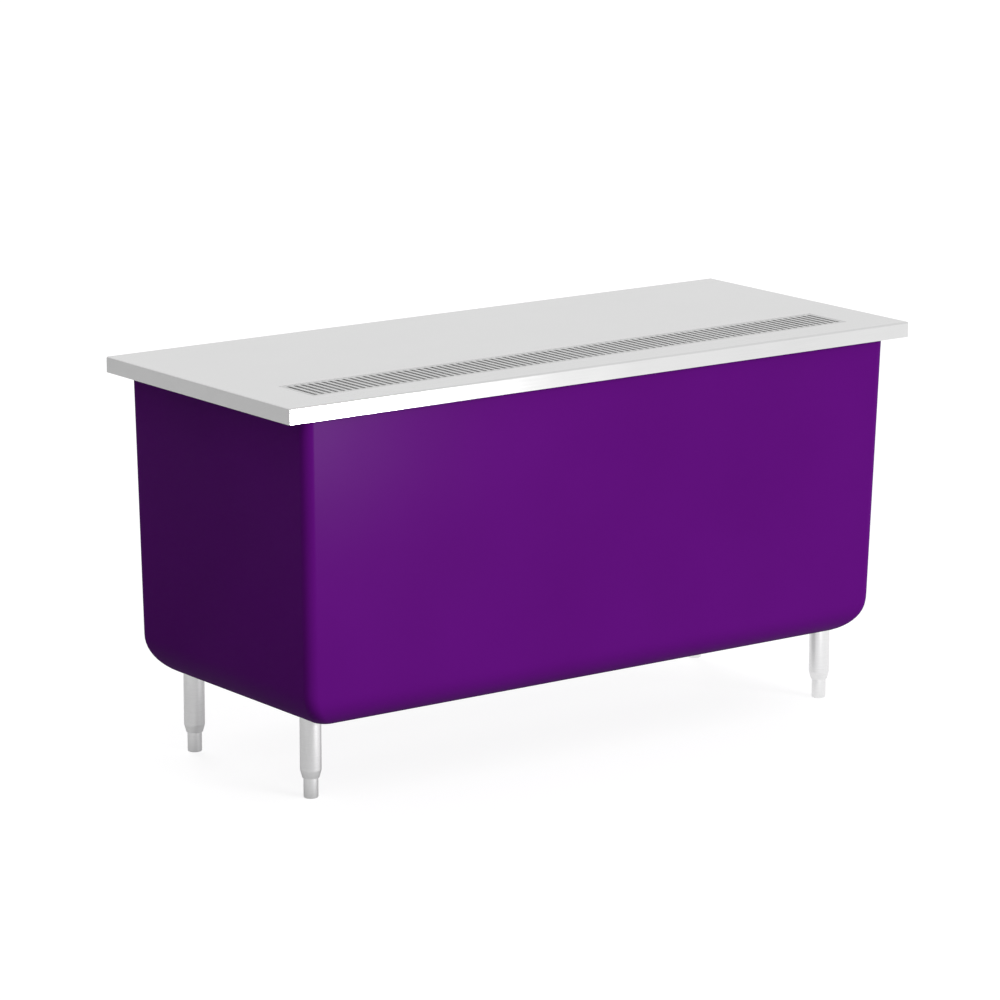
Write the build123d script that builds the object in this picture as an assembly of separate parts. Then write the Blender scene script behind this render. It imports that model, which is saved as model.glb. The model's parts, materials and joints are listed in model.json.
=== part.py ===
from build123d import *

import math
import os

# Beverage serving counter: a moulded tub body, a stainless top with a drip trough, four adjustable legs.
# Millimetres. +Z is up, +X runs along the counter and the customer side faces -Y.
# The origin is on the floor, under the middle of the top.

# Countertop
counter_length = 1742.0
counter_depth = 740.0
counter_height = 914.0
top_sheet = 2.0
edge_drop = 36.0  # height of the turned-down edge
edge_hem = 8.0  # inward return along the bottom of that edge
bend_inside = 2.0

# Body shell
end_overhang = 54.0  # the top past the shell, at the underside of the turned-down edge
front_overhang = 19.5
rear_overhang = 11.5
shell_wall = 5.0
shell_draft = 1.6  # lean of the front and ends, in degrees
shell_clear = 173.0  # floor to the shell's underside
end_roll = 92.0  # radius from an end into the bottom
front_roll = 70.0
rear_roll = 92.0
shell_corner = 25.5
shell_lap = 26.0  # how far the shell rises behind the turned-down edge
opening_width = 1380.0  # storage opening on the operator side
opening_header = 74.0  # shell left above the opening
opening_sill = 14.0  # opening above the shelf
opening_corner = 30.0
lip_depth = 20.0
lip_edge = 3.0  # rounding of the opening's outer edge

# Drip grate and trough
grate_length = 1500.0
grate_width = 132.0
grate_setback = 85.0  # from the front edge of the top
grate_gap = 1.0
grate_corner = 3.0
grate_sides = {"left": -1, "right": 1}
slot_width = 9.1
slot_pitch = 18.15
slot_border = 8.5  # solid border around the slots
slot_joint = 5.0  # solid bar where two sections meet
trough_sheet = 1.5
trough_flange = 10.0  # flange past the cut-out, under the top sheet
trough_ledge = 7.0  # flange inside the cut-out, which carries the grate
trough_depth = 26.0  # at the drain, below the top sheet
trough_fall = 6.0

# Frame under the top
channel_width = 34.0
channel_height = 34.0
channel_sheet = 2.0
channel_gap = 12.0
channel_end_gap = 20.0
rail_end_gap = 6.0
frame_bolt = 6.0
bolt_play = 0.2  # radial clearance of every fastener in its hole
ledger_depth = 40.0
ledger_width = 44.0
ledger_height = 38.0
ledger_screw = 5.0
ledger_screw_length = 26.0

# Base frame and shelf
bedding = 6.0  # rubber between the shell's floor and the base rails
base_rail_height = 70.0
base_rail_width = 36.0
base_rail_spread = 320.0
base_sheet = 2.5
cross_height = 50.0
post_size = 40.0
post_sheet = 3.0
shell_bolt = 8.0
bolts_per_rail = 4
shelf_sheet = 1.2
shelf_edge = 18.0  # height of the shelf's turned-down edges
shelf_gap = 8.0
shelf_corner = 20.0
shelf_notch_gap = 2.0
shelf_screw = 5.0

# Legs and feet
leg_inset_end = 68.0  # leg axis in from the shell's end, front and rear at its underside
leg_inset_front = 100.0
leg_inset_rear = 115.0
leg_overrun = 45.0  # end cross-member past the leg axis
leg_od = 48.0
leg_wall = 2.0
leg_fit = 0.2
leg_hole_gap = 1.0
swage_top = 64.0
mouth_height = 46.0  # floor to the leg tube's lower end
socket_wall = 3.5
socket_length = 40.0
socket_play = 0.3
set_screw = 8.0
foot_od = 33.0
foot_fit = 0.5
foot_chamfer = 3.0
foot_hidden = 20.0  # foot inside the tube at rest
stud_od = 16.0
stud_length = 84.0
stud_play = 0.3
insert_lift = 46.0  # insert above the tube's lower end
insert_height = 20.0
insert_fit = 0.05

# Drain line
drain_inset = 164.0  # drain axis in from the right end of the grate
drain_pad = 45.0  # level floor each side of the drain
pipe_od = 27.0
pipe_wall = 2.5
pipe_fit = 0.15
fitting_wall = 3.5
socket_depth = 16.0
elbow_radius = 26.0
tail_length = 48.0
drain_flange = 64.0
drain_flange_sheet = 2.5
gasket_height = 3.0
gasket_width = 14.0
locknut_across = 46.0
locknut_height = 8.0
strainer_sheet = 1.5
strainer_rim = 4.0  # bare edge of the flange around the strainer
strainer_hole = 3.0
strainer_ring = 4.5  # step from one ring of holes to the next
hanger_sheet = 2.5
hanger_width = 20.0
hanger_tab = 28.0
hanger_play = 0.2

# Ball valve
valve_setback = 95.0  # valve axis in from the shell's rear face
nipple_bare = 10.0
ball_od = 34.0
ball_bore = 20.0
ball_play = 0.3
seat_play = 0.2
seat_height = 7.5
valve_wall = 4.5
plug_flange = 12.0
plug_thread = 14.0
neck_od = 20.0
neck_reach = 34.0
stem_od = 10.0
stem_play = 0.3
tongue_width = 4.0
tongue_depth = 4.0
tongue_play = 0.1
packing_across = 22.0
packing_height = 8.0
lever_gap = 0.4
lever_sheet = 3.0
lever_width = 14.0
lever_hub = 22.0
lever_length = 115.0
grip_length = 70.0
grip_wall = 2.5
lever_nut_across = 16.0
lever_nut_height = 6.0
stem_proud = 1.5
spigot_od = 22.0
spigot_bore = 16.0
spigot_length = 45.0
spigot_chamfer = 1.5

# Heights that several pieces share
under_top = counter_height - top_sheet
edge_under = counter_height - edge_drop
shell_top = edge_under + shell_lap
shell_floor = shell_clear + shell_wall
channel_under = under_top - channel_height
rail_under = channel_under - channel_height
base_rail_under = shell_floor + bedding
base_top = base_rail_under + base_rail_height
shelf_top = base_top + shelf_sheet
trough_floor = under_top - trough_depth
trough_under = trough_floor - trough_sheet

LOW = (Align.CENTER, Align.CENTER, Align.MIN)
HIGH = (Align.CENTER, Align.CENTER, Align.MAX)


def wall_reach(z, reach, lean, roll, inset):
    """How far a shell wall stands from the origin at height z, offset inward by inset.

    reach is its distance at the underside of the turned-down edge. Below, the wall leans in and then
    rolls into the bottom.
    """
    slope = math.tan(math.radians(lean))
    square = math.cos(math.radians(lean))
    radius = roll - inset
    roll_height = shell_clear + inset + radius

    def line(height):
        return reach - slope * (edge_under - height) - inset / square

    if z >= roll_height - radius * math.sin(math.radians(lean)):
        return line(z)
    return line(roll_height) - radius / square + math.sqrt(max(radius**2 - (roll_height - z) ** 2, 0))


def end_reach(z, inset=0.0):
    return wall_reach(z, counter_length / 2 - end_overhang, shell_draft, end_roll, inset)


def front_reach(z, inset=0.0):
    return wall_reach(z, counter_depth / 2 - front_overhang, shell_draft, front_roll, inset)


def rear_reach(z, inset=0.0):
    return wall_reach(z, counter_depth / 2 - rear_overhang, 0.0, rear_roll, inset)


# Plan positions that several pieces share
lean_in = math.tan(math.radians(shell_draft)) * (edge_under - shell_clear)
leg_x = counter_length / 2 - end_overhang - lean_in - leg_inset_end
leg_front = -(counter_depth / 2 - front_overhang - lean_in - leg_inset_front)
leg_rear = counter_depth / 2 - rear_overhang - leg_inset_rear
leg_places = {
    "front_left": (-leg_x, leg_front),
    "front_right": (leg_x, leg_front),
    "rear_left": (-leg_x, leg_rear),
    "rear_right": (leg_x, leg_rear),
}
grate_y = -(counter_depth / 2 - grate_setback - grate_width / 2)
cut_x = grate_length / 2 + grate_gap
cut_y = grate_width / 2 + grate_gap
pan_x = cut_x - trough_ledge
pan_y = cut_y - trough_ledge
drain_x = grate_length / 2 - drain_inset
pipe_id = pipe_od - 2 * pipe_wall
tail_end = trough_under - tail_length
run_z = tail_end - elbow_radius
valve_y = counter_depth / 2 - rear_overhang - valve_setback

trough_rear = grate_y + cut_y + trough_flange
trough_front = grate_y - cut_y - trough_flange
channel_rear_y = rear_reach(channel_under, shell_wall) - channel_gap - channel_width / 2
channel_trough_y = trough_rear + channel_gap + channel_width / 2
channel_places = {
    "front": (trough_front - front_reach(channel_under, shell_wall)) / 2,
    "trough": channel_trough_y,
    "centre": (channel_trough_y + channel_rear_y) / 2,
    "rear": channel_rear_y,
}
rail_places = {"left": -leg_x, "centre": 0.0, "right": leg_x}
hanger_bolt_x = drain_x + hanger_tab / 2
hanger_bolt_place = (hanger_bolt_x, channel_places["centre"])
crossings = [(x, y) for x in rail_places.values() for y in channel_places.values()]

socket_od = leg_od + 2 * leg_fit + 2 * socket_wall
cross_width = socket_od + 2 * socket_play + 2 * base_sheet
cross_side = leg_x - cross_width / 2
base_rail_length = 2 * cross_side
bolt_step = base_rail_length / bolts_per_rail
bolt_row = [bolt_step * (i + 0.5) - cross_side for i in range(bolts_per_rail)]
base_rail_places = {"front": -base_rail_spread / 2, "rear": base_rail_spread / 2}
base_bolts = [(x, y) for x in bolt_row for y in base_rail_places.values()]


def rod(diameter, z_low, z_high, x=0.0, y=0.0):
    """A round bar along Z between two heights."""
    return Pos(x, y, z_low) * Cylinder(diameter / 2, z_high - z_low, align=LOW)


def hex_bar(across, z_low, z_high, x=0.0, y=0.0):
    """A hexagonal bar along Z between two heights."""
    outline = RegularPolygon(across / 2, 6, major_radius=False)
    return Pos(x, y, z_low) * extrude(outline, amount=z_high - z_low)


def drill(shape, diameter, places, z_low, z_high):
    """Cuts the same round hole at each place, between two heights."""
    for x, y in places:
        shape -= rod(diameter, z_low, z_high, x, y)
    return shape


def group(pieces):
    return Compound(children=[piece.solid() for piece in pieces])


def c_section(length, width, height, sheet, open_side):
    """A C-section along X standing on Z = 0, with its open side towards +Y or -Y."""
    hollow = Pos(0, open_side * sheet, sheet) * Box(2 * length, width, height - 2 * sheet, align=LOW)
    return Box(length, width, height, align=LOW) - hollow


def u_section(length, width, height, sheet):
    """A U-section along Y hanging below Z = 0, open downward."""
    hollow = Pos(0, 0, -sheet) * Box(width - 2 * sheet, 2 * length, height, align=HIGH)
    return Box(width, length, height, align=HIGH) - hollow


def along_y(shape):
    return Rot(0, 0, 90) * shape


def bent_pan(length, width, height, bend):
    """A block below Z = 0 with rounded top and upright edges, as a folded sheet has outside."""
    block = Box(length, width, height, align=HIGH)
    bottom = block.faces().sort_by(Axis.Z)[0]
    edges = [edge for edge in block.edges() if edge not in bottom.edges()]
    return fillet(edges, radius=bend)


def frame_hole_through(shape, z_mid, places):
    """Bolt holes through a flange of the frame under the top."""
    reach = 2 * channel_sheet
    return drill(shape, frame_bolt + 2 * bolt_play, places, z_mid - reach, z_mid + reach)


# Top


def countertop():
    pan = bent_pan(counter_length, counter_depth, edge_drop, bend_inside + top_sheet)
    hollow_height = edge_drop - 2 * top_sheet
    hollow = bent_pan(
        counter_length - 2 * top_sheet, counter_depth - 2 * top_sheet, hollow_height, bend_inside
    )
    pan -= Pos(0, 0, -top_sheet) * hollow
    mouth = Box(counter_length - 2 * edge_hem, counter_depth - 2 * edge_hem, edge_drop, align=HIGH)
    pan -= Pos(0, 0, -top_sheet) * mouth
    pan -= Pos(0, grate_y, 0) * Box(2 * cut_x, 2 * cut_y, 2 * edge_drop)
    return Pos(0, 0, counter_height) * pan


def drip_trough():
    """A pan that falls towards the drain, with a flange that carries the grate and lies under the top."""
    far = trough_floor + trough_fall

    def pan(skin, top):
        outline = Polyline(
            (-pan_x - skin, top),
            (-pan_x - skin, far - skin),
            (drain_x - drain_pad, trough_floor - skin),
            (pan_x + skin, trough_floor - skin),
            (pan_x + skin, top),
            close=True,
        )
        return extrude(Plane.XZ * make_face(outline), amount=pan_y + skin, both=True)

    flange = Box(2 * (cut_x + trough_flange), 2 * (cut_y + trough_flange), trough_sheet, align=HIGH)
    trough = pan(trough_sheet, under_top) + Pos(0, 0, under_top) * flange
    trough -= pan(0.0, counter_height)
    hole = pipe_od + 2 * bolt_play
    return Pos(0, grate_y, 0) * drill(trough, hole, [(drain_x, 0)], trough_under - 1, trough_floor + 1)


def drip_grate(side):
    """Half of the grate: a flat plate, flush with the top, with slots that start from the middle joint."""
    near = grate_gap / 2
    length = grate_length / 2 - near
    slot_count = int((length - slot_joint - slot_border - slot_width) / slot_pitch) + 1
    slot = SlotOverall(grate_width - 2 * slot_border, slot_width, rotation=90)
    first = near + slot_joint + slot_width / 2
    plate = Pos(side * (near + length / 2), 0) * RectangleRounded(length, grate_width, grate_corner)
    plate -= [Pos(side * (first + slot_pitch * i), 0) * slot for i in range(slot_count)]
    return Pos(0, grate_y, under_top) * extrude(plate, amount=top_sheet)


def top_channel(name):
    y = channel_places[name]
    open_side = -1 if name == "rear" else 1
    length = 2 * (end_reach(channel_under, shell_wall) - channel_end_gap)
    channel = c_section(length, channel_width, channel_height, channel_sheet, open_side)
    channel = Pos(0, y, channel_under) * channel
    places = [(x, y) for x in rail_places.values()]
    if name == "centre":
        places.append(hanger_bolt_place)
    return frame_hole_through(channel, channel_under, places)


rail_front = -front_reach(rail_under, shell_wall) + rail_end_gap
rail_rear = rear_reach(rail_under, shell_wall) - rail_end_gap


def ledger_places():
    """Where the shell's bonded blocks meet the rails: all rails in front, the end rails behind."""
    front = rail_front + (ledger_depth - rail_end_gap) / 2
    rear = rail_rear - (ledger_depth - rail_end_gap) / 2
    return [(x, front) for x in rail_places.values()] + [(-leg_x, rear), (leg_x, rear)]


def top_rail(name):
    x = rail_places[name]
    rail = along_y(c_section(rail_rear - rail_front, channel_width, channel_height, channel_sheet, 1))
    rail = Pos(x, (rail_front + rail_rear) / 2, rail_under) * rail
    rail = frame_hole_through(rail, channel_under, [(x, y) for y in channel_places.values()])
    screws = [place for place in ledger_places() if place[0] == x]
    return drill(rail, ledger_screw + 2 * bolt_play, screws, rail_under - 1, rail_under + 2 * channel_sheet)


def frame_bolt_stacks():
    """Each bolt of the top frame: its place, and what it clamps under the channel's flange."""
    stacks = [(place, channel_sheet) for place in crossings]
    stacks.append((hanger_bolt_place, hanger_sheet))
    return stacks


frame_head = 0.7 * frame_bolt
frame_across = 1.65 * frame_bolt
frame_nut = 0.8 * frame_bolt


def frame_bolts():
    bolts = []
    for (x, y), below in frame_bolt_stacks():
        seat = channel_under + channel_sheet
        shank = rod(frame_bolt, channel_under - below - frame_nut, seat, x, y)
        bolts.append(shank + hex_bar(frame_across, seat, seat + frame_head, x, y))
    return group(bolts)


def frame_nuts():
    nuts = []
    for (x, y), below in frame_bolt_stacks():
        top = channel_under - below
        nut = hex_bar(frame_across, top - frame_nut, top, x, y)
        nuts.append(drill(nut, frame_bolt + bolt_play, [(x, y)], top - frame_nut, top))
    return group(nuts)


# Body shell


def tub(inset, top):
    """The moulded body as a solid, offset inward by inset and cut level at top."""
    deepest = max(end_roll, front_roll, rear_roll)
    straight = shell_clear + deepest
    settle = deepest / 6  # straight wall kept above the roll, so that it leaves the roll smoothly
    radius = deepest - inset

    def section(z):
        front, rear = front_reach(z, inset), rear_reach(z, inset)
        outline = RectangleRounded(2 * end_reach(z, inset), front + rear, shell_corner - inset)
        return Pos(0, (rear - front) / 2, z) * outline

    turns = range(90, -1, -10)
    heights = [shell_clear + inset + radius * (1 - math.sin(math.radians(turn))) for turn in turns]
    heights += [straight + settle, straight + 2 * settle]
    low = loft([section(z) for z in heights])
    return low + loft([section(heights[-1]), section(top)], ruled=True)


opening_low = shelf_top + opening_sill
opening_high = shell_top - opening_header


def opening_block(grow, y_low, y_high):
    """The storage opening's outline, grown all round, between two depths."""
    width = opening_width + 2 * grow
    outline = RectangleRounded(width, opening_high - opening_low + 2 * grow, opening_corner + grow)
    block = extrude(outline, amount=y_high - y_low)
    return Pos(0, y_high, (opening_low + opening_high) / 2) * Rot(90, 0, 0) * block


def opening_lip():
    """The moulded return around the storage opening, rounded where hands reach in."""
    rear = rear_reach(shell_top)
    lip = opening_block(shell_wall, rear - lip_depth, rear)
    lip -= opening_block(0.0, rear - 2 * lip_depth, rear + lip_depth)
    rim = lip.faces().sort_by(Axis.Y)[-1].inner_wires()[0]
    return fillet(rim.edges(), radius=lip_edge)


def body_shell():
    rear = rear_reach(shell_top)
    shell = tub(0.0, shell_top) - tub(shell_wall, shell_top + shell_wall)
    shell -= opening_block(shell_wall / 2, rear - 2 * lip_depth, rear + lip_depth)
    shell += opening_lip()
    hole = leg_od + 2 * leg_hole_gap
    shell = drill(shell, hole, leg_places.values(), 0, base_top)
    return drill(shell, shell_bolt + 2 * bolt_play, base_bolts, 0, base_rail_under)


def ledger_blocks():
    """Blocks bonded inside the shell, cut to its lean, that the top rails are screwed to."""
    blocks = []
    low = rail_under - ledger_height
    for x, y in ledger_places():
        if y < 0:
            side, reach = -1, front_reach
        else:
            side, reach = 1, rear_reach
        inner = side * (reach(rail_under, shell_wall) - ledger_depth)
        outline = Polyline(
            (inner, low),
            (inner, rail_under),
            (side * reach(rail_under, shell_wall), rail_under),
            (side * reach(low, shell_wall), low),
            close=True,
        )
        block = Pos(x, 0, 0) * extrude(Plane.YZ * make_face(outline), amount=ledger_width / 2, both=True)
        pilot = rail_under + channel_sheet - ledger_screw_length
        blocks.append(drill(block, ledger_screw + bolt_play, [(x, y)], pilot, rail_under + 1))
    return group(blocks)


def pan_screw(diameter, length, z_seat, x, y):
    """A pan-head screw that points down from its seat."""
    head = rod(2 * diameter, z_seat, z_seat + diameter / 2, x, y)
    head = fillet(head.faces().sort_by(Axis.Z)[-1].edges(), radius=diameter / 4)
    return head + rod(diameter, z_seat - length, z_seat, x, y)


# Base


def bedding_strips():
    length = 2 * end_reach(shell_floor, shell_wall)
    strips = []
    for y in base_rail_places.values():
        strip = Pos(0, y, shell_floor) * Box(length, base_rail_width, bedding, align=LOW)
        places = [(x, y) for x in bolt_row]
        strips.append(drill(strip, shell_bolt + 2 * bolt_play, places, shell_floor, base_rail_under))
    return group(strips)


def base_rail(name):
    y = base_rail_places[name]
    open_side = 1 if name == "rear" else -1
    rail = c_section(base_rail_length, base_rail_width, base_rail_height, base_sheet, open_side)
    rail = Pos(0, y, base_rail_under) * rail
    places = [(x, y) for x in bolt_row]
    rail = drill(rail, shell_bolt + 2 * bolt_play, places, base_rail_under, base_rail_under + 2 * base_sheet)
    return drill(rail, shelf_screw + 2 * bolt_play, places, base_top - 2 * base_sheet, base_top)


cross_front = leg_front - leg_overrun
cross_rear = leg_rear + leg_overrun
set_screw_z = base_top - base_sheet - socket_length / 2


def set_screw_places(side):
    return [place for place in leg_places.values() if place[0] * side > 0]


def cross_drill(shape, diameter, places):
    """Set-screw holes: along X, from each leg's axis towards the middle of the counter."""
    for x, y in places:
        inward = -math.copysign(1, x)
        shape -= Pos(x, y, set_screw_z) * Rot(0, 90 * inward, 0) * rod(diameter, 0, cross_width)
    return shape


def base_cross_end(side):
    cross = u_section(cross_rear - cross_front, cross_width, cross_height, base_sheet)
    cross = Pos(side * leg_x, (cross_front + cross_rear) / 2, base_top) * cross
    return cross_drill(cross, set_screw + 2 * bolt_play, set_screw_places(side))


def base_cross_centre():
    cross = u_section(base_rail_spread - base_rail_width, cross_width, cross_height, base_sheet)
    return Pos(0, 0, base_top) * cross


post_places = {
    name: (x, cross_front + post_size / 2 if y < 0 else cross_rear - post_size / 2)
    for name, (x, y) in leg_places.items()
}


def corner_post(name):
    """An angle with its heel towards the nearest corner of the shell."""
    x, y = post_places[name]
    out_x, out_y = math.copysign(1, x), math.copysign(1, y)
    height = rail_under - base_top
    post = Box(post_size, post_size, height, align=LOW)
    post -= Pos(-out_x * post_sheet, -out_y * post_sheet, 0) * Box(post_size, post_size, height, align=LOW)
    return Pos(x, y, base_top) * post


def storage_shelf():
    """The shelf of the storage bay: a tray upside down, with turned-down edges, notched for the posts."""
    half = end_reach(base_top, shell_wall) - shelf_gap
    front = front_reach(base_top, shell_wall) - shelf_gap
    rear = rear_reach(base_top, shell_wall) - shelf_gap
    outline = RectangleRounded(2 * half, front + rear, shelf_corner)
    inside = RectangleRounded(
        2 * (half - shelf_sheet), front + rear - 2 * shelf_sheet, shelf_corner - shelf_sheet
    )
    shelf = Pos(0, 0, shelf_top) * extrude(outline, amount=-shelf_edge)
    shelf -= Pos(0, 0, base_top) * extrude(inside, amount=-shelf_edge)
    shelf = Pos(0, (rear - front) / 2, 0) * shelf
    notch = post_size + 2 * shelf_notch_gap
    for x, y in post_places.values():
        shelf -= Pos(x, y, base_top) * Box(notch, notch, 2 * shelf_edge)
    return drill(shelf, shelf_screw + 2 * bolt_play, base_bolts, base_top, shelf_top)


def pan_screws():
    """The screws that hold the ledger blocks to the top rails and the shelf to the base rails."""
    rail_seat = rail_under + channel_sheet
    shelf_length = shelf_sheet + 3 * base_sheet
    screws = [pan_screw(ledger_screw, ledger_screw_length, rail_seat, x, y) for x, y in ledger_places()]
    screws += [pan_screw(shelf_screw, shelf_length, shelf_top, x, y) for x, y in base_bolts]
    return group(screws)


shell_nut = 0.8 * shell_bolt
shell_across = 1.6 * shell_bolt
shell_head = 0.6 * shell_bolt


def shell_bolts():
    seat = base_rail_under + base_sheet
    bolts = []
    for x, y in base_bolts:
        head = rod(2 * shell_bolt, shell_clear - shell_head, shell_clear, x, y)
        head = fillet(head.faces().sort_by(Axis.Z)[0].edges(), radius=shell_head / 2)
        bolts.append(head + rod(shell_bolt, shell_clear, seat + shell_nut, x, y))
    return group(bolts)


def shell_nuts():
    seat = base_rail_under + base_sheet
    nuts = []
    for x, y in base_bolts:
        nut = hex_bar(shell_across, seat, seat + shell_nut, x, y)
        nuts.append(drill(nut, shell_bolt + bolt_play, [(x, y)], seat, seat + shell_nut))
    return group(nuts)


# Legs


def leg_sockets():
    top = base_top - base_sheet
    sockets = []
    for x, y in leg_places.values():
        socket = rod(socket_od, top - socket_length, top, x, y)
        socket = drill(socket, leg_od + 2 * leg_fit, [(x, y)], top - socket_length, top)
        sockets.append(cross_drill(socket, set_screw + bolt_play, [(x, y)]))
    return group(sockets)


def set_screws():
    reach = leg_od / 2 + bolt_play
    head_seat = cross_width / 2
    screws = []
    for x, y in leg_places.values():
        screw = rod(set_screw, reach, head_seat)
        screw += hex_bar(1.6 * set_screw, head_seat, head_seat + 0.6 * set_screw)
        inward = -math.copysign(1, x)
        screws.append(Pos(x, y, set_screw_z) * Rot(0, 90 * inward, 0) * screw)
    return group(screws)


mouth_od = foot_od + 2 * foot_fit + 2 * leg_wall


def leg_tube(name):
    x, y = leg_places[name]
    top = base_top - base_sheet
    outline = Polyline(
        (leg_od / 2 - leg_wall, top),
        (leg_od / 2, top),
        (leg_od / 2, swage_top),
        (mouth_od / 2, mouth_height),
        (mouth_od / 2 - leg_wall, mouth_height),
        (leg_od / 2 - leg_wall, swage_top),
        close=True,
    )
    return Pos(x, y, 0) * revolve(Plane.XZ * make_face(outline), Axis.Z)


def leg_inserts():
    low = mouth_height + insert_lift
    od = leg_od - 2 * leg_wall - 2 * insert_fit
    inserts = []
    for x, y in leg_places.values():
        insert = rod(od, low, low + insert_height, x, y)
        inserts.append(drill(insert, stud_od + 2 * stud_play, [(x, y)], low, low + insert_height))
    return group(inserts)


def foot(name):
    x, y = leg_places[name]
    shoulder = mouth_height + foot_hidden
    body = rod(foot_od, 0, shoulder)
    body = chamfer(body.faces().sort_by(Axis.Z)[0].edges(), length=foot_chamfer)
    return Pos(x, y, 0) * (body + rod(stud_od, shoulder, shoulder + stud_length))


# Drain


def at_drain(shape):
    return Pos(drain_x, grate_y, 0) * shape


def drain_tailpiece():
    flange_top = trough_floor + drain_flange_sheet
    tail = rod(pipe_od, tail_end, trough_floor) + rod(drain_flange, trough_floor, flange_top)
    return at_drain(drill(tail, pipe_id, [(0, 0)], tail_end, flange_top))


def drain_strainer():
    """A punched plate on the drain's flange, with two rings of holes around a middle one."""
    low = trough_floor + drain_flange_sheet
    high = low + strainer_sheet
    plate = rod(drain_flange - 2 * strainer_rim, low, high)
    places = [(0.0, 0.0)]
    for ring in (1, 2):
        radius = ring * strainer_ring
        count = 6 * ring
        turns = [2 * math.pi * i / count for i in range(count)]
        places += [(radius * math.cos(turn), radius * math.sin(turn)) for turn in turns]
    return at_drain(drill(plate, strainer_hole, places, low, high))


def drain_gasket():
    low = trough_under - gasket_height
    ring = rod(pipe_od + 2 * gasket_width, low, trough_under)
    return at_drain(drill(ring, pipe_od + 2 * pipe_fit, [(0, 0)], low, trough_under))


def drain_locknut():
    top = trough_under - gasket_height
    nut = hex_bar(locknut_across, top - locknut_height, top)
    return at_drain(drill(nut, pipe_od + 2 * pipe_fit, [(0, 0)], top - locknut_height, top))


def elbow():
    """A socket elbow around the point where its axes cross, open towards +Z and +Y."""
    reach = elbow_radius + socket_depth
    path = FilletPolyline((0, 0, reach), (0, 0, 0), (0, reach, 0), radius=elbow_radius)
    mouth = Plane(origin=(0, 0, reach), z_dir=(0, 0, -1))
    body = sweep(mouth * Circle(pipe_od / 2 + fitting_wall), path)
    body -= sweep(mouth * Circle(pipe_id / 2), path)
    socket = rod(pipe_od + 2 * pipe_fit, elbow_radius, reach)
    return body - socket - Rot(-90, 0, 0) * socket


def drain_elbow_upper():
    return Pos(drain_x, grate_y, run_z) * elbow()


def drain_elbow_lower():
    return Pos(drain_x, valve_y, run_z) * Rot(180, 0, 0) * elbow()


def pipe(length):
    return drill(rod(pipe_od, 0, length), pipe_id, [(0, 0)], 0, length)


def drain_run_pipe():
    start = grate_y + elbow_radius
    return Pos(drain_x, start, run_z) * Rot(-90, 0, 0) * pipe(valve_y - elbow_radius - start)


def pipe_hanger():
    """A strap round the run pipe, hung from the centre channel by a bolted tab."""
    y = channel_places["centre"]
    outer = pipe_od / 2 + hanger_play + hanger_sheet
    strap_top = channel_under - run_z
    hanger = Rot(90, 0, 0) * Cylinder(outer, hanger_width)
    hanger += Box(hanger_sheet, hanger_width, strap_top, align=LOW)
    tab = Box(hanger_tab, hanger_width, hanger_sheet, align=(Align.MIN, Align.CENTER, Align.MAX))
    hanger += Pos(-hanger_sheet / 2, 0, strap_top) * tab
    hanger -= Rot(90, 0, 0) * Cylinder(pipe_od / 2 + hanger_play, 2 * hanger_width)
    hanger = Pos(drain_x, y, run_z) * hanger
    return frame_hole_through(hanger, channel_under, [hanger_bolt_place])


# Ball valve, around the ball's middle with the pipe along Z and the stem along +Y
chamber_od = ball_od + 2 * ball_play
seat_low = math.sqrt((ball_od / 2) ** 2 - (ball_bore / 2) ** 2) - seat_height / 2
chamber_half = seat_low + seat_height
valve_od = chamber_od + 2 * valve_wall
valve_top = chamber_half + valve_wall + socket_depth
valve_bottom = -chamber_half - plug_thread
valve_z = run_z - elbow_radius - socket_depth - nipple_bare - valve_top
plug_end = valve_bottom - plug_flange
lever_y = neck_reach + packing_height + lever_gap
stem_end = lever_y + lever_sheet + lever_nut_height + stem_proud


def at_valve(shape):
    return Pos(drain_x, valve_y, valve_z) * shape


def on_stem(shape):
    """Lays a piece that was made along +Z along the valve's stem."""
    return Rot(-90, 0, 0) * shape


def valve_nipple():
    length = 2 * socket_depth + nipple_bare
    return at_valve(Pos(0, 0, valve_top - socket_depth) * pipe(length))


def valve_body():
    body = rod(valve_od, valve_bottom, valve_top) + on_stem(rod(neck_od, 0, neck_reach))
    body -= rod(chamber_od, valve_bottom, chamber_half)
    body -= rod(ball_bore, chamber_half, valve_top)
    body -= rod(pipe_od + 2 * pipe_fit, valve_top - socket_depth, valve_top)
    return at_valve(body - on_stem(rod(stem_od + 2 * stem_play, 0, neck_reach)))


def valve_end_plug():
    plug = rod(chamber_od - 2 * pipe_fit, valve_bottom, -chamber_half)
    plug += hex_bar(valve_od, plug_end, valve_bottom)
    plug -= rod(ball_bore, plug_end, -chamber_half)
    return at_valve(plug - rod(pipe_od + 2 * pipe_fit, plug_end, plug_end + socket_depth))


def valve_seats():
    seats = []
    for side in (1, -1):
        low, high = sorted((side * seat_low, side * chamber_half))
        seat = rod(chamber_od - 2 * pipe_fit, low, high) - rod(ball_bore, low, high)
        seats.append(at_valve(seat - Sphere(ball_od / 2 + seat_play)))
    return group(seats)


def valve_ball():
    ball = Sphere(ball_od / 2) - rod(ball_bore, -ball_od, ball_od)
    slot = Pos(0, 0, ball_od / 2 - tongue_depth) * Box(tongue_width, ball_od, tongue_depth, align=LOW)
    return at_valve(ball - on_stem(slot))


def valve_stem():
    low = ball_od / 2 + tongue_play
    stem = rod(stem_od, low, stem_end)
    tongue = Box(tongue_width - 2 * tongue_play, stem_od / math.sqrt(2), tongue_depth, align=HIGH)
    return at_valve(on_stem(stem + Pos(0, 0, low) * tongue))


def valve_packing_nut():
    nut = hex_bar(packing_across, neck_reach, neck_reach + packing_height)
    nut = drill(nut, stem_od + 2 * stem_play, [(0, 0)], neck_reach, neck_reach + packing_height)
    return at_valve(on_stem(nut))


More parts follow.
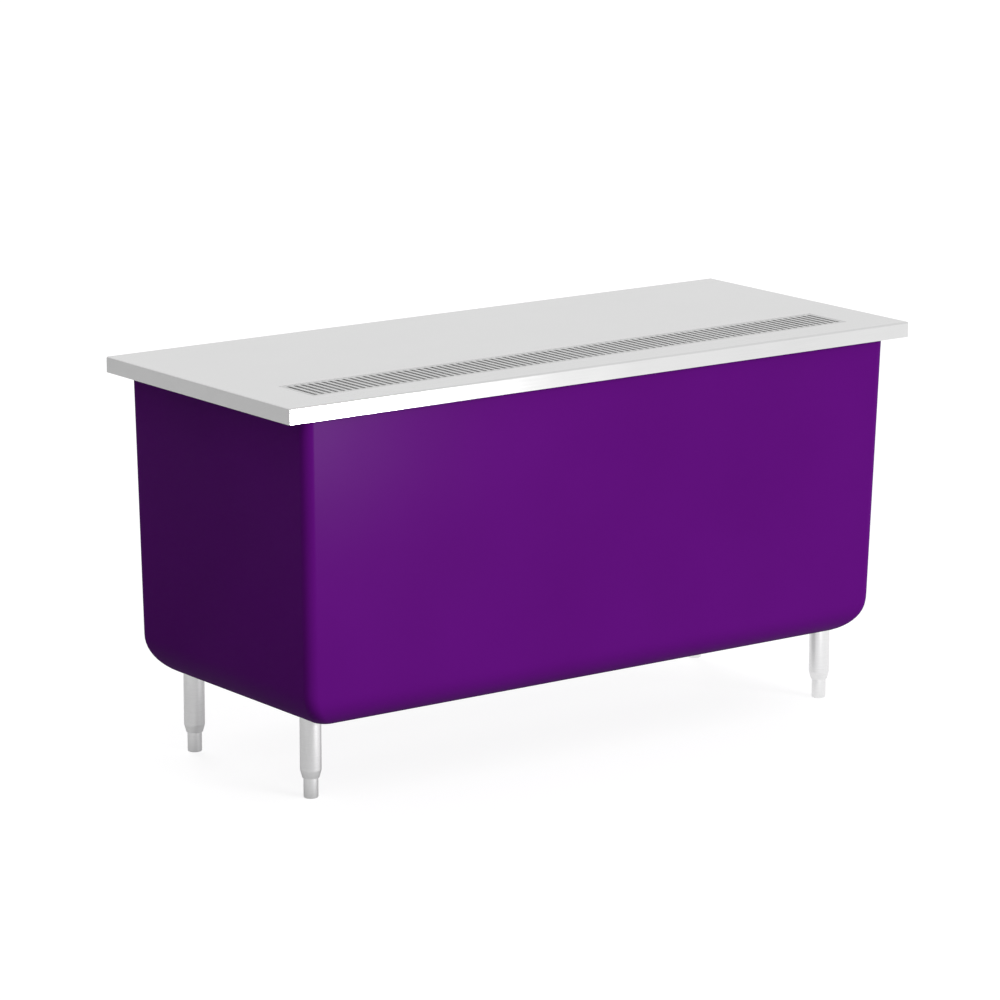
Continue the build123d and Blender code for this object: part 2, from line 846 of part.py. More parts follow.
def valve_lever():
    """The flat lever, hanging along the pipe when the valve is open."""
    arm = Pos(0, lever_length / 2) * SlotOverall(lever_length + lever_width, lever_width, rotation=90)
    outline = arm + Circle(lever_hub / 2) - Circle(stem_od / 2 + insert_fit)
    lever = Pos(0, 0, lever_y) * extrude(outline, amount=lever_sheet)
    return at_valve(on_stem(lever))


def lever_grip():
    """A vinyl sleeve over the end of the lever."""
    y = lever_length + lever_width / 2
    inner = Pos(0, lever_length / 2) * SlotOverall(
        lever_length + lever_width + 2 * insert_fit, lever_width + 2 * insert_fit, rotation=90
    )
    outer = Pos(0, y + grip_wall - grip_length / 2) * RectangleRounded(
        lever_width + 2 * grip_wall, grip_length, lever_width / 2
    )
    sleeve = Pos(0, 0, lever_y - grip_wall) * extrude(outer, amount=lever_sheet + 2 * grip_wall)
    sleeve = fillet(sleeve.edges().filter_by(GeomType.CIRCLE), radius=grip_wall / 2)
    hollow = Pos(0, 0, lever_y - insert_fit) * extrude(inner, amount=lever_sheet + 2 * insert_fit)
    return at_valve(on_stem(sleeve - hollow))


def lever_nut():
    low = lever_y + lever_sheet
    nut = hex_bar(lever_nut_across, low, low + lever_nut_height)
    return at_valve(on_stem(drill(nut, stem_od + 2 * insert_fit, [(0, 0)], low, low + lever_nut_height)))


def drain_spigot():
    """The outlet: a plain spigot for a hose, screwed into the valve's end plug."""
    spigot = rod(spigot_od, plug_end - spigot_length, plug_end)
    spigot = chamfer(spigot.faces().sort_by(Axis.Z)[0].edges(), length=spigot_chamfer)
    spigot += rod(pipe_od, plug_end, plug_end + socket_depth)
    return at_valve(drill(spigot, spigot_bore, [(0, 0)], plug_end - spigot_length, plug_end + socket_depth))


nodes = {
    "countertop": countertop(),
    "drip_trough": drip_trough(),
    "frame_bolts": frame_bolts(),
    "frame_nuts": frame_nuts(),
    "body_shell": body_shell(),
    "ledger_blocks": ledger_blocks(),
    "bedding_strips": bedding_strips(),
    "base_cross_left": base_cross_end(-1),
    "base_cross_centre": base_cross_centre(),
    "base_cross_right": base_cross_end(1),
    "storage_shelf": storage_shelf(),
    "pan_screws": pan_screws(),
    "shell_bolts": shell_bolts(),
    "shell_nuts": shell_nuts(),
    "leg_sockets": leg_sockets(),
    "leg_set_screws": set_screws(),
    "leg_inserts": leg_inserts(),
    "drain_tailpiece": drain_tailpiece(),
    "drain_strainer": drain_strainer(),
    "drain_gasket": drain_gasket(),
    "drain_locknut": drain_locknut(),
    "drain_elbow_upper": drain_elbow_upper(),
    "drain_run_pipe": drain_run_pipe(),
    "drain_elbow_lower": drain_elbow_lower(),
    "pipe_hanger": pipe_hanger(),
    "valve_nipple": valve_nipple(),
    "valve_body": valve_body(),
    "valve_end_plug": valve_end_plug(),
    "valve_seats": valve_seats(),
    "valve_ball": valve_ball(),
    "valve_stem": valve_stem(),
    "valve_packing_nut": valve_packing_nut(),
    "valve_lever": valve_lever(),
    "lever_grip": lever_grip(),
    "lever_nut": lever_nut(),
    "drain_spigot": drain_spigot(),
}
for name, side in grate_sides.items():
    nodes[f"drip_grate_{name}"] = drip_grate(side)
for name in channel_places:
    nodes[f"top_channel_{name}"] = top_channel(name)
for name in rail_places:
    nodes[f"top_rail_{name}"] = top_rail(name)
for name in base_rail_places:
    nodes[f"base_rail_{name}"] = base_rail(name)
for name in leg_places:
    nodes[f"corner_post_{name}"] = corner_post(name)
    nodes[f"leg_tube_{name}"] = leg_tube(name)
    nodes[f"foot_{name}"] = foot(name)

os.makedirs("parts", exist_ok=True)
for name, shape in nodes.items():
    export_step(shape, f"parts/{name}.step")
print(len(nodes), "nodes")
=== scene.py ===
# %% [markdown]
# # A beverage serving counter
#
# The counter is a moulded purple tub on four stainless legs, under a folded stainless top with a long
# drip grate. Its engineering model comes in as a frame of separate nodes, each at its real size and in
# its real place, in metres. This lesson gives every node a finish, and remakes as clean meshes the
# pieces whose looks need more than an engineering solid has: the tub, the grate, the legs and feet, the
# fasteners and the drain fittings.

# %% Load the frame
import json
import math

import bmesh
import bpy
from mathutils import Matrix, Vector


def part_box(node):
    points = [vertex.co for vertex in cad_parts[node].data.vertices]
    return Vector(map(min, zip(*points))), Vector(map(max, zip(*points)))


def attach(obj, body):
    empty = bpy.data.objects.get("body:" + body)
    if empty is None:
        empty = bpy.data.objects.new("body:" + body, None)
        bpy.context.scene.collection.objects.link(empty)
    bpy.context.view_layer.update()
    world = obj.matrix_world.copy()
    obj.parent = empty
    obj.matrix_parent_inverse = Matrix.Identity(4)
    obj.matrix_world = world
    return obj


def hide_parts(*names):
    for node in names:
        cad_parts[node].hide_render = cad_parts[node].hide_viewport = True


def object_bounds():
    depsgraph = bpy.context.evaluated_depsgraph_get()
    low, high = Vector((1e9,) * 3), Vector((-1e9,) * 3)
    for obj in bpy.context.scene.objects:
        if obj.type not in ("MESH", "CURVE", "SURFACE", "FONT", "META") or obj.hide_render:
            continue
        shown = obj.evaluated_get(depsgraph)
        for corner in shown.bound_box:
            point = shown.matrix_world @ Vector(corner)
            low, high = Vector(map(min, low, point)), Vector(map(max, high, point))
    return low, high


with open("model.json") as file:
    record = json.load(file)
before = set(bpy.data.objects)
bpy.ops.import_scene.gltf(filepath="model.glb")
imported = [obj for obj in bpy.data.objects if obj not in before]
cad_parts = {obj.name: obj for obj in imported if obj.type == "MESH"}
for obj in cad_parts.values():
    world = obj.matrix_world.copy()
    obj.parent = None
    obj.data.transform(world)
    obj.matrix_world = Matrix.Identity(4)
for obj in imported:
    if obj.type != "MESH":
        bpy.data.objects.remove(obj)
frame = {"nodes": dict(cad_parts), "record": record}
cad_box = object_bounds()
MM = 0.001
print("nodes:", len(frame["nodes"]), "box:", [round(side, 3) for side in cad_box[1] - cad_box[0]])

# %% [markdown]
# ## Camera
#
# The photograph was taken from far away with a long lens, a little above the top, from the customer's
# left. A camera can be aimed by hand until the edges agree, or worked out from the long edges of the
# top, which is what was done here: the angles and the focal length are those of that fit. The middle
# of the counter lands a little off the middle of the picture, so the camera is moved sideways by that
# much instead of being turned, and needs no lens shift.

# %% Place the camera
photo_side = 1000  # pixels along each side of the photograph
middle_pixel = (515.0, 532.9)  # where the middle of the counter lands
focal_pixels = 4749.0
view_distance = 10.989
view_azimuth = math.radians(-36.23)
view_elevation = math.radians(12.52)

level = math.cos(view_elevation)
back = Vector((math.sin(view_azimuth) * level, -math.cos(view_azimuth) * level, math.sin(view_elevation)))
right = Vector((math.cos(view_azimuth), math.sin(view_azimuth), 0.0))
up = back.cross(right)
pixel = view_distance / focal_pixels
aside = (middle_pixel[0] - photo_side / 2) * pixel
below = (middle_pixel[1] - photo_side / 2) * pixel
middle = (cad_box[0] + cad_box[1]) / 2

camera = bpy.data.objects.new("camera", bpy.data.cameras.new("camera"))
camera.data.sensor_width = 36.0
camera.data.lens = camera.data.sensor_width * focal_pixels / photo_side
turn = Matrix((right, up, back)).transposed().to_4x4()
camera.matrix_world = Matrix.Translation(middle + back * view_distance - right * aside + up * below) @ turn
bpy.context.scene.collection.objects.link(camera)
bpy.context.scene.camera = camera
bpy.context.scene.view_settings.view_transform = "Standard"
print("camera at", [round(value, 2) for value in camera.matrix_world.translation])

# %% [markdown]
# ## Shader maths as Python
#
# A finish is a small network of nodes. It can be wired by hand in the Shader Editor, or in code one
# node and one link at a time, which is hard to read. Here one class wraps an output socket, so that an
# expression such as `0.3 + grain * 0.1` adds its own Math nodes. Every other node comes from the one
# method `node`: its type, its settings, and then the values or links of its sockets.


# %% A socket that takes part in expressions
class Wire:
    """An output socket of a node tree. Arithmetic on it adds Math nodes."""

    def __init__(self, tree, socket=None):
        self.tree = tree
        self.socket = socket

    def node(self, kind, settings=None, inputs=None, output=0):
        """Adds a node, sets it up, fills or links its sockets, and returns one of its outputs."""
        made = self.tree.nodes.new(kind)
        for name, value in (settings or {}).items():
            setattr(made, name, value)
        for name, value in (inputs or {}).items():
            if isinstance(value, Wire):
                self.tree.links.new(value.socket, made.inputs[name])
            else:
                made.inputs[name].default_value = value
        return Wire(self.tree, made.outputs[output] if made.outputs else None)

    def beside(self, output):
        """Another output of the same node."""
        return Wire(self.tree, self.socket.node.outputs[output])

    def math(self, operation, first, second):
        return self.node("ShaderNodeMath", {"operation": operation}, {0: first, 1: second})

    def __add__(self, other):
        return self.math("ADD", self, other)

    def __sub__(self, other):
        return self.math("SUBTRACT", self, other)

    def __rsub__(self, other):
        return self.math("SUBTRACT", other, self)

    def __mul__(self, other):
        return self.math("MULTIPLY", self, other)

    __radd__ = __add__
    __rmul__ = __mul__

    def spread(self, low=0.3, high=0.7):
        """Stretches low and high to 0 and 1, and clamps. Most values of a noise lie between 0.3 and 0.7."""
        reach = {"Value": self, "From Min": low, "From Max": high}
        return self.node("ShaderNodeMapRange", {"clamp": True}, reach)

    def between(self, first, second):
        """This value as the share of the second of two numbers."""
        return first + self * (second - first)

    def tint(self, first, second):
        """This value as the share of the second of two colours."""
        colours = {0: self, 6: (*first, 1.0), 7: (*second, 1.0)}
        return self.node("ShaderNodeMix", {"data_type": "RGBA"}, colours, 2)

    def bump(self, depth):
        """This value as a height, depth metres from 0 to 1, turned into a normal."""
        return self.node("ShaderNodeBump", {}, {"Height": self, "Strength": 1.0, "Distance": depth})


def new_surface(name):
    """A material with an empty node tree, and a wire to start its expressions from."""
    material = bpy.data.materials.new(name)
    material.use_nodes = True
    material.node_tree.nodes.clear()
    return material, Wire(material.node_tree)


def surface(name, recipe, *values):
    """A material that ends in one Principled shader, whose inputs a recipe works out."""
    material, wire = new_surface(name)
    shader = wire.node("ShaderNodeBsdfPrincipled", {}, recipe(wire, *values))
    wire.node("ShaderNodeOutputMaterial", {}, {"Surface": shader})
    return material


def place(wire):
    """The point on the object, in metres, in the frame that all pieces share."""
    return wire.node("ShaderNodeTexCoord", {}, {}, "Object")


def stretched(wire, times, turned=(0.0, 0.0, 0.0)):
    """The point, turned and then multiplied along each axis."""
    point = wire.node("ShaderNodeVectorRotate", {"rotation_type": "EULER_XYZ"}, {0: place(wire), 4: turned})
    return wire.node("ShaderNodeVectorMath", {"operation": "MULTIPLY"}, {0: point, 1: times})


def noise(wire, scale, detail=2.0, vector=None):
    """Soft noise, with so many lumps a metre."""
    inputs = {"Vector": vector or place(wire), "Scale": scale, "Detail": detail}
    return wire.node("ShaderNodeTexNoise", {}, inputs)


print("shader helpers ready")

# %% [markdown]
# ## Stage
#
# The photograph shows the counter on plain white, lit softly from the customer's right: the front is
# bright, the left end is in shade and the metal is pale. A white sheet under bright lamps would do, but
# those lamps would burn out the counter too. So the floor glows for the camera and for reflections
# alone, and still takes a shadow. On the left a grey card, unseen by the camera, keeps that end dark.
# Its foot is brighter, because the legs and the roll of the tub mirror it: the card glows for
# reflections alone, as a painted reflection. For reflections the floor's glow also carries painted shade
# on the left and a painted shadow under the counter.

# %% Floor and card
stage_size = 40.0
floor_shade = 0.3
floor_seen = 0.83  # the glow that keeps the floor white for the camera
# The glow that reflections see is painted darker on the left. This is painted shade.
floor_glow_and_painted_shade = (0.37, 0.74)  # and the one that reflections see, from the left to the right
painted_shade_turn = (-1.05, -0.35)  # where the floor goes from the one to the other
# Painted shadow: between these bounds, the glow that reflections see is darker under the counter.
painted_shadow_left = (-0.90, -0.74)  # from where and to where the mirrored floor darkens under the counter
painted_shadow_right = (0.45, 0.20)
painted_shadow_front = (-0.36, -0.24)
painted_shadow_rear = (1.0, 0.6)
painted_shadow_strength = 0.45
card_shade = 0.30
# The card's glow for reflections alone is a painted reflection. It is brighter low on the card.
card_painted_reflection = (1.1, 0.34)  # low on the card, and high
card_reflection_turn = (0.12, 0.42)
card_x = -1.8
card_y = (-0.7, 3.5)
card_z = (0.12, 2.4)


def by_ray(wire, light, seen, mirrored):
    """One strength for rays that carry light, one for the camera and glass, and one for reflections."""
    path = wire.node("ShaderNodeLightPath", {}, {}, "Is Camera Ray")
    direct = wire.math("MAXIMUM", path, path.beside("Is Transmission Ray"))
    return light + direct * (seen - light) + path.beside("Is Glossy Ray") * (mirrored - light)


def close_stage(wire, shade, glow):
    """Ends a stage material in a matt grey that also glows."""
    matt = wire.node("ShaderNodeBsdfDiffuse", {}, {"Color": (shade, shade, shade, 1.0)})
    lit = wire.node("ShaderNodeEmission", {}, {"Strength": glow})
    both = wire.node("ShaderNodeAddShader", {}, {0: matt, 1: lit})
    wire.node("ShaderNodeOutputMaterial", {}, {"Surface": both})


def flat_panel(name, corners, material):
    mesh = bpy.data.meshes.new(name)
    mesh.from_pydata(corners, [], [list(range(len(corners)))])
    mesh.materials.append(material)
    panel = bpy.data.objects.new(name, mesh)
    bpy.context.scene.collection.objects.link(panel)
    return panel


floor_white, wire = new_surface("floor_white")
x = wire.node("ShaderNodeSeparateXYZ", {}, {"Vector": place(wire)})
y = x.beside("Y")
# A mask for the painted shadow under the counter, in the floor's glow for reflections.
painted_shadow_x = x.spread(*painted_shadow_left) * x.spread(*painted_shadow_right)
painted_shadow_y = y.spread(*painted_shadow_front) * y.spread(*painted_shadow_rear)
# The floor's glow for reflections, with painted shade on the left and the painted shadow under the counter.
mirrored = x.spread(*painted_shade_turn).between(*floor_glow_and_painted_shade) * (1.0 - painted_shadow_x * painted_shadow_y * painted_shadow_strength)
close_stage(wire, floor_shade, by_ray(wire, 0.0, floor_seen, mirrored))
half = stage_size / 2
corners = [(-half, -half, 0), (half, -half, 0), (half, half, 0), (-half, half, 0)]
floor = flat_panel("floor", corners, floor_white)

card_grey, wire = new_surface("card_grey")
z = wire.node("ShaderNodeSeparateXYZ", {}, {"Vector": place(wire)}, "Z")
# A painted reflection: the card glows for reflections only, more strongly towards its foot.
mirrored = z.spread(*card_reflection_turn).between(*card_painted_reflection)
close_stage(wire, card_shade, by_ray(wire, 0.0, 0.0, mirrored))
near_edge, far_edge = [[(card_x, y, z) for z in card_z] for y in card_y]
card = flat_panel("shade_card", near_edge + far_edge[::-1], card_grey)
card.visible_camera = False
print("stage:", floor.name, card.name)

# %% [markdown]
# The light itself is plain: a soft dome, a broad key light from the customer's right, a fill from
# behind, and a low softbox that lays a sheen over the upper left of the front. Ring lights or many small
# lamps would show as spots in the metal. The camera sees none of these lamps.

# %% Dome and lamps
dome_light = 0.67
dome_seen = 1.0
dome_mirrored = 0.87

world = bpy.data.worlds.new("dome")
world.use_nodes = True
world.node_tree.nodes.clear()
wire = Wire(world.node_tree)
strength = by_ray(wire, dome_light, dome_seen, dome_mirrored)
sky = wire.node("ShaderNodeBackground", {}, {"Color": (1.0, 1.0, 1.0, 1.0), "Strength": strength})
wire.node("ShaderNodeOutputWorld", {}, {"Surface": sky})
bpy.context.scene.world = world


def lamp(name, kind, start, aim=middle, **settings):
    """A lamp at start, turned towards aim."""
    light = bpy.data.objects.new(name, bpy.data.lights.new(name, kind))
    for setting, value in settings.items():
        setattr(light.data, setting, value)
    light.location = start
    light.rotation_mode = "QUATERNION"
    light.rotation_quaternion = (Vector(aim) - Vector(start)).to_track_quat("-Z", "Y")
    light.visible_camera = False
    bpy.context.scene.collection.objects.link(light)
    return light


key = lamp("key", "SUN", (1.4, -3.8, 1.5), energy=1.78, angle=math.radians(30))
rear_fill = lamp("rear_fill", "SUN", (1.0, 3.5, 1.6), energy=1.7, angle=math.radians(40))
key.visible_glossy = False  # their mirror images would burn out the top
rear_fill.visible_glossy = False
softbox = lamp("low_softbox", "AREA", (0.02, -1.78, 0.55), (-0.9, -0.36, 0.95), energy=17.0, size=0.4)
softbox.visible_diffuse = False  # it is there for its sheen alone
print("lamps:", [light.name for light in bpy.data.lights])

# %% [markdown]
# ## Stainless steel
#
# The top, the grate, the legs and the feet are satin stainless: sheet and tube that were rubbed with a
# fine belt, which leaves short scratches in one direction. A photograph of brushed metal could be
# wrapped on. A noise that is squeezed to hundreds of lines a metre across the grain and drawn out
# along it gives the same scratches at any distance and needs no unwrapping. It moves the colour, the
# gloss and the normal together, and a slow second noise stands for handling marks.

# %% Stainless finishes
scratch_depth = 0.0025 * MM


def stainless(wire, pale, streaks, gloss):
    """Satin stainless. streaks says how fine the scratches are along each axis, a metre."""
    grain = noise(wire, 1.0, 3.0, stretched(wire, streaks))
    marks = noise(wire, 5.0, 3.0)
    tone = (grain * 0.7 + marks * 0.3).spread()
    dark = [0.9 * part for part in pale]
    return {
        "Base Color": tone.tint(dark, pale),
        "Metallic": 1.0,
        "Roughness": (gloss - 0.09) + grain * 0.1 + marks * 0.08,
        "Normal": grain.bump(scratch_depth),
    }


steels = [  # material slot, name, colour, scratches a metre along each axis, gloss
    ("top_stainless", "satin_top", (0.79, 0.79, 0.79), (6, 1400, 1400), 0.24),
    ("grate_stainless", "satin_grate", (0.70, 0.70, 0.70), (900, 12, 12), 0.36),
    ("leg_stainless", "satin_leg", (0.88, 0.88, 0.88), (30, 30, 1600), 0.3),
    ("foot_stainless", "turned_foot", (0.90, 0.90, 0.90), (20, 20, 2200), 0.34),
    ("bolt_stainless", "bolt_steel", (0.66, 0.66, 0.67), (700, 700, 700), 0.35),
    ("valve_steel", "valve_steel", (0.60, 0.60, 0.60), (300, 900, 300), 0.38),
]
finishes = {slot: surface(name, stainless, *values) for slot, name, *values in steels}
print("stainless finishes:", sorted(finishes))

# %% [markdown]
# ## Gelcoat and flow coat
#
# The tub is fibreglass. Its outside is gelcoat, a coloured resin that comes out of a polished mould
# almost smooth: it keeps a faint orange peel and very slow waves where the glass shrinks behind it.
# Its inside is brushed with grey flow coat, through which the chopped strands of glass still show.
# Both are resin, so neither is metallic, and the colour sits in the material and not on it. The sheen of
# the gelcoat could be the shader's own specular level, but that turns every rounded edge milky where it
# is seen at a glancing angle. A thin coat, set to a small weight, has the same sheen and stays weak there.

# %% Resin finishes
gelcoat_purple = (0.121, 0.0048, 0.206)
gelcoat_deep = (0.112, 0.0044, 0.190)
gelcoat_wave = 0.12 * MM
strand_height = 0.4 * MM
strand_turns = ((0.4, 0.9, 0.2), (1.5, 0.3, 1.1), (2.4, 1.7, 2.6))
strands_per_metre = (22, 520, 520)


def gelcoat(wire):
    peel = noise(wire, 420.0, 2.0)
    waves = noise(wire, 7.0, 1.0)
    clouds = noise(wire, 2.5, 3.0).spread()
    return {
        "Base Color": clouds.tint(gelcoat_deep, gelcoat_purple),
        "Roughness": 0.24 + waves * 0.1 + peel * 0.06,
        "Specular IOR Level": 0.0,
        "Coat Weight": 0.10 + waves * 0.04,
        "Coat Roughness": 0.3,
        "Coat IOR": 1.3,
        "Normal": (waves * 0.9 + peel * 0.1).bump(gelcoat_wave),
    }


def flow_coat(wire):
    strands = 0.0
    for turned in strand_turns:
        fibre = noise(wire, 1.0, 2.0, stretched(wire, strands_per_metre, turned))
        strands = strands + fibre.spread(0.52, 0.75)
    brushed = noise(wire, 14.0, 3.0)
    return {
        "Base Color": (strands * 0.25 + brushed * 0.5).tint((0.52, 0.53, 0.54), (0.72, 0.72, 0.71)),
        "Roughness": 0.42 + brushed * 0.2,
        "Normal": (strands * 0.6 + brushed * 0.4).bump(strand_height),
    }


finishes["gelcoat"] = surface("purple_gelcoat", gelcoat)
inside_finish = surface("grey_flow_coat", flow_coat)
print("resin finishes:", finishes["gelcoat"].name, inside_finish.name)

# %% [markdown]
# ## Galvanised steel and plated fasteners
#
# The hidden frame is folded from galvanised sheet. Zinc freezes on it in flat crystals about a
# centimetre across, each a little lighter or darker than the next. A tiled picture of them would show
# where it repeats. Voronoi cells are such crystals and never repeat: a random colour for each cell gives
# its tone and its gloss, and a little noise on the coordinates makes the borders ragged. Plated fasteners
# have a thin zinc layer with no crystals, only a faint warm tint.

# %% Zinc finishes
crystals_per_metre = 95.0
crystal_relief = 0.02 * MM
border_shift = 6 * MM
plate_pit = 0.01 * MM


def galvanised(wire):
    ragged = noise(wire, 220.0, 2.0).beside("Color")
    shift = wire.node("ShaderNodeVectorMath", {"operation": "SCALE"}, {0: ragged, "Scale": border_shift})
    point = wire.node("ShaderNodeVectorMath", {"operation": "ADD"}, {0: place(wire), 1: shift})
    crystals = {"Vector": point, "Scale": crystals_per_metre}
    crystal = wire.node("ShaderNodeTexVoronoi", {}, crystals, "Color")
    tone = wire.node("ShaderNodeSeparateColor", {}, {"Color": crystal})
    frost = noise(wire, 600.0, 2.0)
    return {
        "Base Color": (tone * 0.8 + frost * 0.2).tint((0.44, 0.46, 0.48), (0.68, 0.69, 0.70)),
        "Metallic": 1.0,
        "Roughness": 0.36 + tone.beside(1) * 0.16 + frost * 0.08,
        "Normal": (tone * 0.5 + frost * 0.5).bump(crystal_relief),
    }


def zinc_plate(wire):
    film = noise(wire, 60.0, 3.0).spread()
    pits = noise(wire, 1500.0, 2.0)
    return {
        "Base Color": film.tint((0.56, 0.58, 0.60), (0.66, 0.63, 0.54)),
        "Metallic": 1.0,
        "Roughness": 0.28 + pits * 0.16,
        "Normal": pits.bump(plate_pit),
    }


finishes["galvanised"] = surface("galvanised_sheet", galvanised)
finishes["zinc"] = surface("zinc_plate", zinc_plate)
print("zinc finishes:", finishes["galvanised"].name, finishes["zinc"].name)

# %% [markdown]
# ## Brass, plastics, rubber and wood
#
# The drain line mixes materials, as plumbing does: white pipe and elbows, a cast brass valve and a
# lever dipped in red vinyl. From afar a flat colour would do for each. Near by, each has a small fault of
# its own, and the fault is what makes it read: brass dulls in clouds and keeps the grain of its sand
# mould, pipe has faint mottling, dipped vinyl runs in slow waves, rubber is matt with specks, and wood
# has grain. All but the wood are one recipe with other values.

# %% Other finishes
pore_depth = 0.15 * MM


def mottled(wire, first, second, clouds, gloss, grain, depth, metallic):
    """A finish that drifts between two colours, with a fine bumpy grain. clouds and grain are per metre."""
    drift = noise(wire, clouds, 3.0).spread()
    fine = noise(wire, grain, 2.0)
    return {
        "Base Color": (drift * 0.75 + fine * 0.25).tint(first, second),
        "Metallic": metallic,
        "Roughness": (gloss - 0.1) + drift * 0.12 + fine * 0.08,
        "Normal": fine.bump(depth),
    }


def sealed_wood(wire):
    rings = noise(wire, 1.0, 4.0, stretched(wire, (18, 260, 260)))
    pores = noise(wire, 1.0, 2.0, stretched(wire, (90, 1800, 1800)))
    figure = (rings * 0.8 + pores * 0.2).spread()
    return {
        "Base Color": figure.tint((0.27, 0.15, 0.07), (0.50, 0.33, 0.18)),
        "Roughness": 0.45 + pores * 0.2,
        "Normal": (rings * 0.5 + pores * 0.5).bump(pore_depth),
    }


mottles = [  # material slot, name, two colours, clouds a metre, gloss, grain a metre, its depth, metallic
    ("valve_brass", "cast_brass", (0.46, 0.29, 0.09), (0.68, 0.47, 0.17), 45, 0.42, 1100, 0.04 * MM, 1),
    ("pipe_plastic", "pipe_plastic", (0.70, 0.70, 0.67), (0.78, 0.78, 0.76), 30, 0.38, 700, 0.01 * MM, 0),
    ("grip_vinyl", "dipped_vinyl", (0.34, 0.01, 0.012), (0.46, 0.016, 0.018), 70, 0.45, 260, 0.12 * MM, 0),
    ("rubber", "bedding_rubber", (0.018, 0.018, 0.019), (0.042, 0.042, 0.042), 90, 0.75, 1400, 0.05 * MM, 0),
    ("insert_nylon", "white_nylon", (0.72, 0.71, 0.66), (0.80, 0.79, 0.75), 60, 0.5, 900, 0.01 * MM, 0),
]
finishes |= {slot: surface(name, mottled, *values) for slot, name, *values in mottles}
finishes["ledger_wood"] = surface("sealed_wood", sealed_wood)
print("all finishes:", len(finishes))

# %% [markdown]
# ## Finishes on the engineering nodes
#
# Most nodes have the right shape already: the folded top, its channels and rails, the posts, the shelf
# and the pipe. A material could be picked for each by hand in the Properties editor. The record already
# says which finish each one takes, so one loop gives them all their material, by its material slot and
# without a change to its mesh.

# %% Dress the nodes
for part in frame["record"]["subparts"]:
    frame["nodes"][part["node"]].material_slots[0].material = finishes[part["material_slot"]]

# %% [markdown]
# ## Outlines with rounded corners
#
# Nothing on a real counter has a perfectly sharp edge, and a small rounding is what catches the light.
# The Bevel modifier can round a finished mesh. The turned and swept pieces here are made from an
# outline, so their corners are rounded in the outline before it is spun or swept, which gives clean
# rings of quads. A hexagon is turned as well: each ring of it is trimmed by the six flats.

# %% Outline helpers
upright = Matrix.Identity(3)
along_stem = Matrix.Rotation(math.radians(-90), 3, "X")  # lays an upright piece along +Y
nut_face = 0.96  # radius of a nut's flat face, as a share of half its width across the flats
nut_bevel = 1.5 * MM
nut_bevel_steps = 4


def soften(outline, closed=False, steps=5):
    """Rounds the corners of an outline of (a, b, radius) points with arcs."""
    points = [Vector(corner[:2]) for corner in outline]
    rounded = []
    for i, corner in enumerate(points):
        radius = outline[i][2]
        if radius == 0 or not closed and i in (0, len(points) - 1):
            rounded.append(corner)
            continue
        before = (points[i - 1] - corner).normalized()
        after = (points[(i + 1) % len(points)] - corner).normalized()
        half_angle = before.angle(after) / 2
        centre = corner + (before + after).normalized() * radius / math.sin(half_angle)
        first = corner + before * radius / math.tan(half_angle) - centre
        last = corner + after * radius / math.tan(half_angle) - centre
        sweep = math.atan2(first.cross(last), first.dot(last))
        rounded += [centre + Matrix.Rotation(sweep * step / steps, 2) @ first for step in range(steps + 1)]
    return rounded


def bridge(shape, first, second, material=0, skip=()):
    """Quads between two rings of as many vertices, apart from those that start at a place in skip."""
    for i in range(len(first)):
        if i not in skip:
            j = (i + 1) % len(first)
            shape.faces.new((first[i], first[j], second[j], second[i])).material_index = material


def skin_over(shape, rings, closed=False):
    """Joins rings in a row into one solid, in a loop or capped at both ends."""
    for first, second in zip(rings, rings[1:] + rings[:1] if closed else rings[1:]):
        bridge(shape, first, second)
    if not closed:
        shape.faces.new(rings[0])
        shape.faces.new(rings[-1])


def spin(shape, outline, centre, closed=False, lie=upright, steps=72):
    """Adds a turned solid: rings of (radius, height) about an axis through centre, upright or laid over.

    A third number trims a ring to a hexagon. It is half the width across the flats.
    """
    rings = []
    for radius, height, *flats in outline:
        ring = []
        for i in range(steps):
            turn = 2 * math.pi * i / steps
            trimmed = [flat / math.cos(turn % (math.pi / 3) - math.pi / 6) for flat in flats]
            out = min([radius] + trimmed)
            point = Vector((out * math.cos(turn), out * math.sin(turn), height))
            ring.append(shape.verts.new(Vector(centre) + lie @ point))
        rings.append(ring)
    skin_over(shape, rings, closed)


def hexagon(flat, low, high):
    """The outer rings of a hexagon whose two faces are turned down to cones, as on a nut."""
    face = nut_face * flat
    rise = flat / math.cos(math.pi / 6) - face
    shares = [step / nut_bevel_steps for step in range(nut_bevel_steps + 1)]
    lower = [(face + rise * share, low + nut_bevel * share, flat) for share in shares]
    return lower + [(radius, low + high - height, flat) for radius, height, flat in reversed(lower)]


print("outline helpers ready")

# %% [markdown]
# ## Pieces in the place of nodes
#
# A remade piece has to ride on the same body as the node that it stands for, hide that node and keep
# its finish. All three can be looked up in the record, so one helper does it for every piece. Shading
# is smooth, with edges kept sharp where two faces meet at a steep angle. A second helper cuts or joins
# shapes with the Boolean modifier, and keeps what it makes as the piece's own mesh.

# %% Piece helpers
slot_of = {part["node"]: part["material_slot"] for part in frame["record"]["subparts"]}
body_of = {node: body for body, nodes in frame["record"]["behaviour"]["bodies"].items() for node in nodes}
sharp_angle = math.radians(35)


def half_width_of(node):
    """Half of a node's width along X, which is the radius of a round one."""
    low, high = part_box(node)
    return (high.x - low.x) / 2


def smooth(piece):
    piece.data.polygons.foreach_set("use_smooth", [True] * len(piece.data.polygons))
    piece.data.set_sharp_from_angle(angle=sharp_angle)


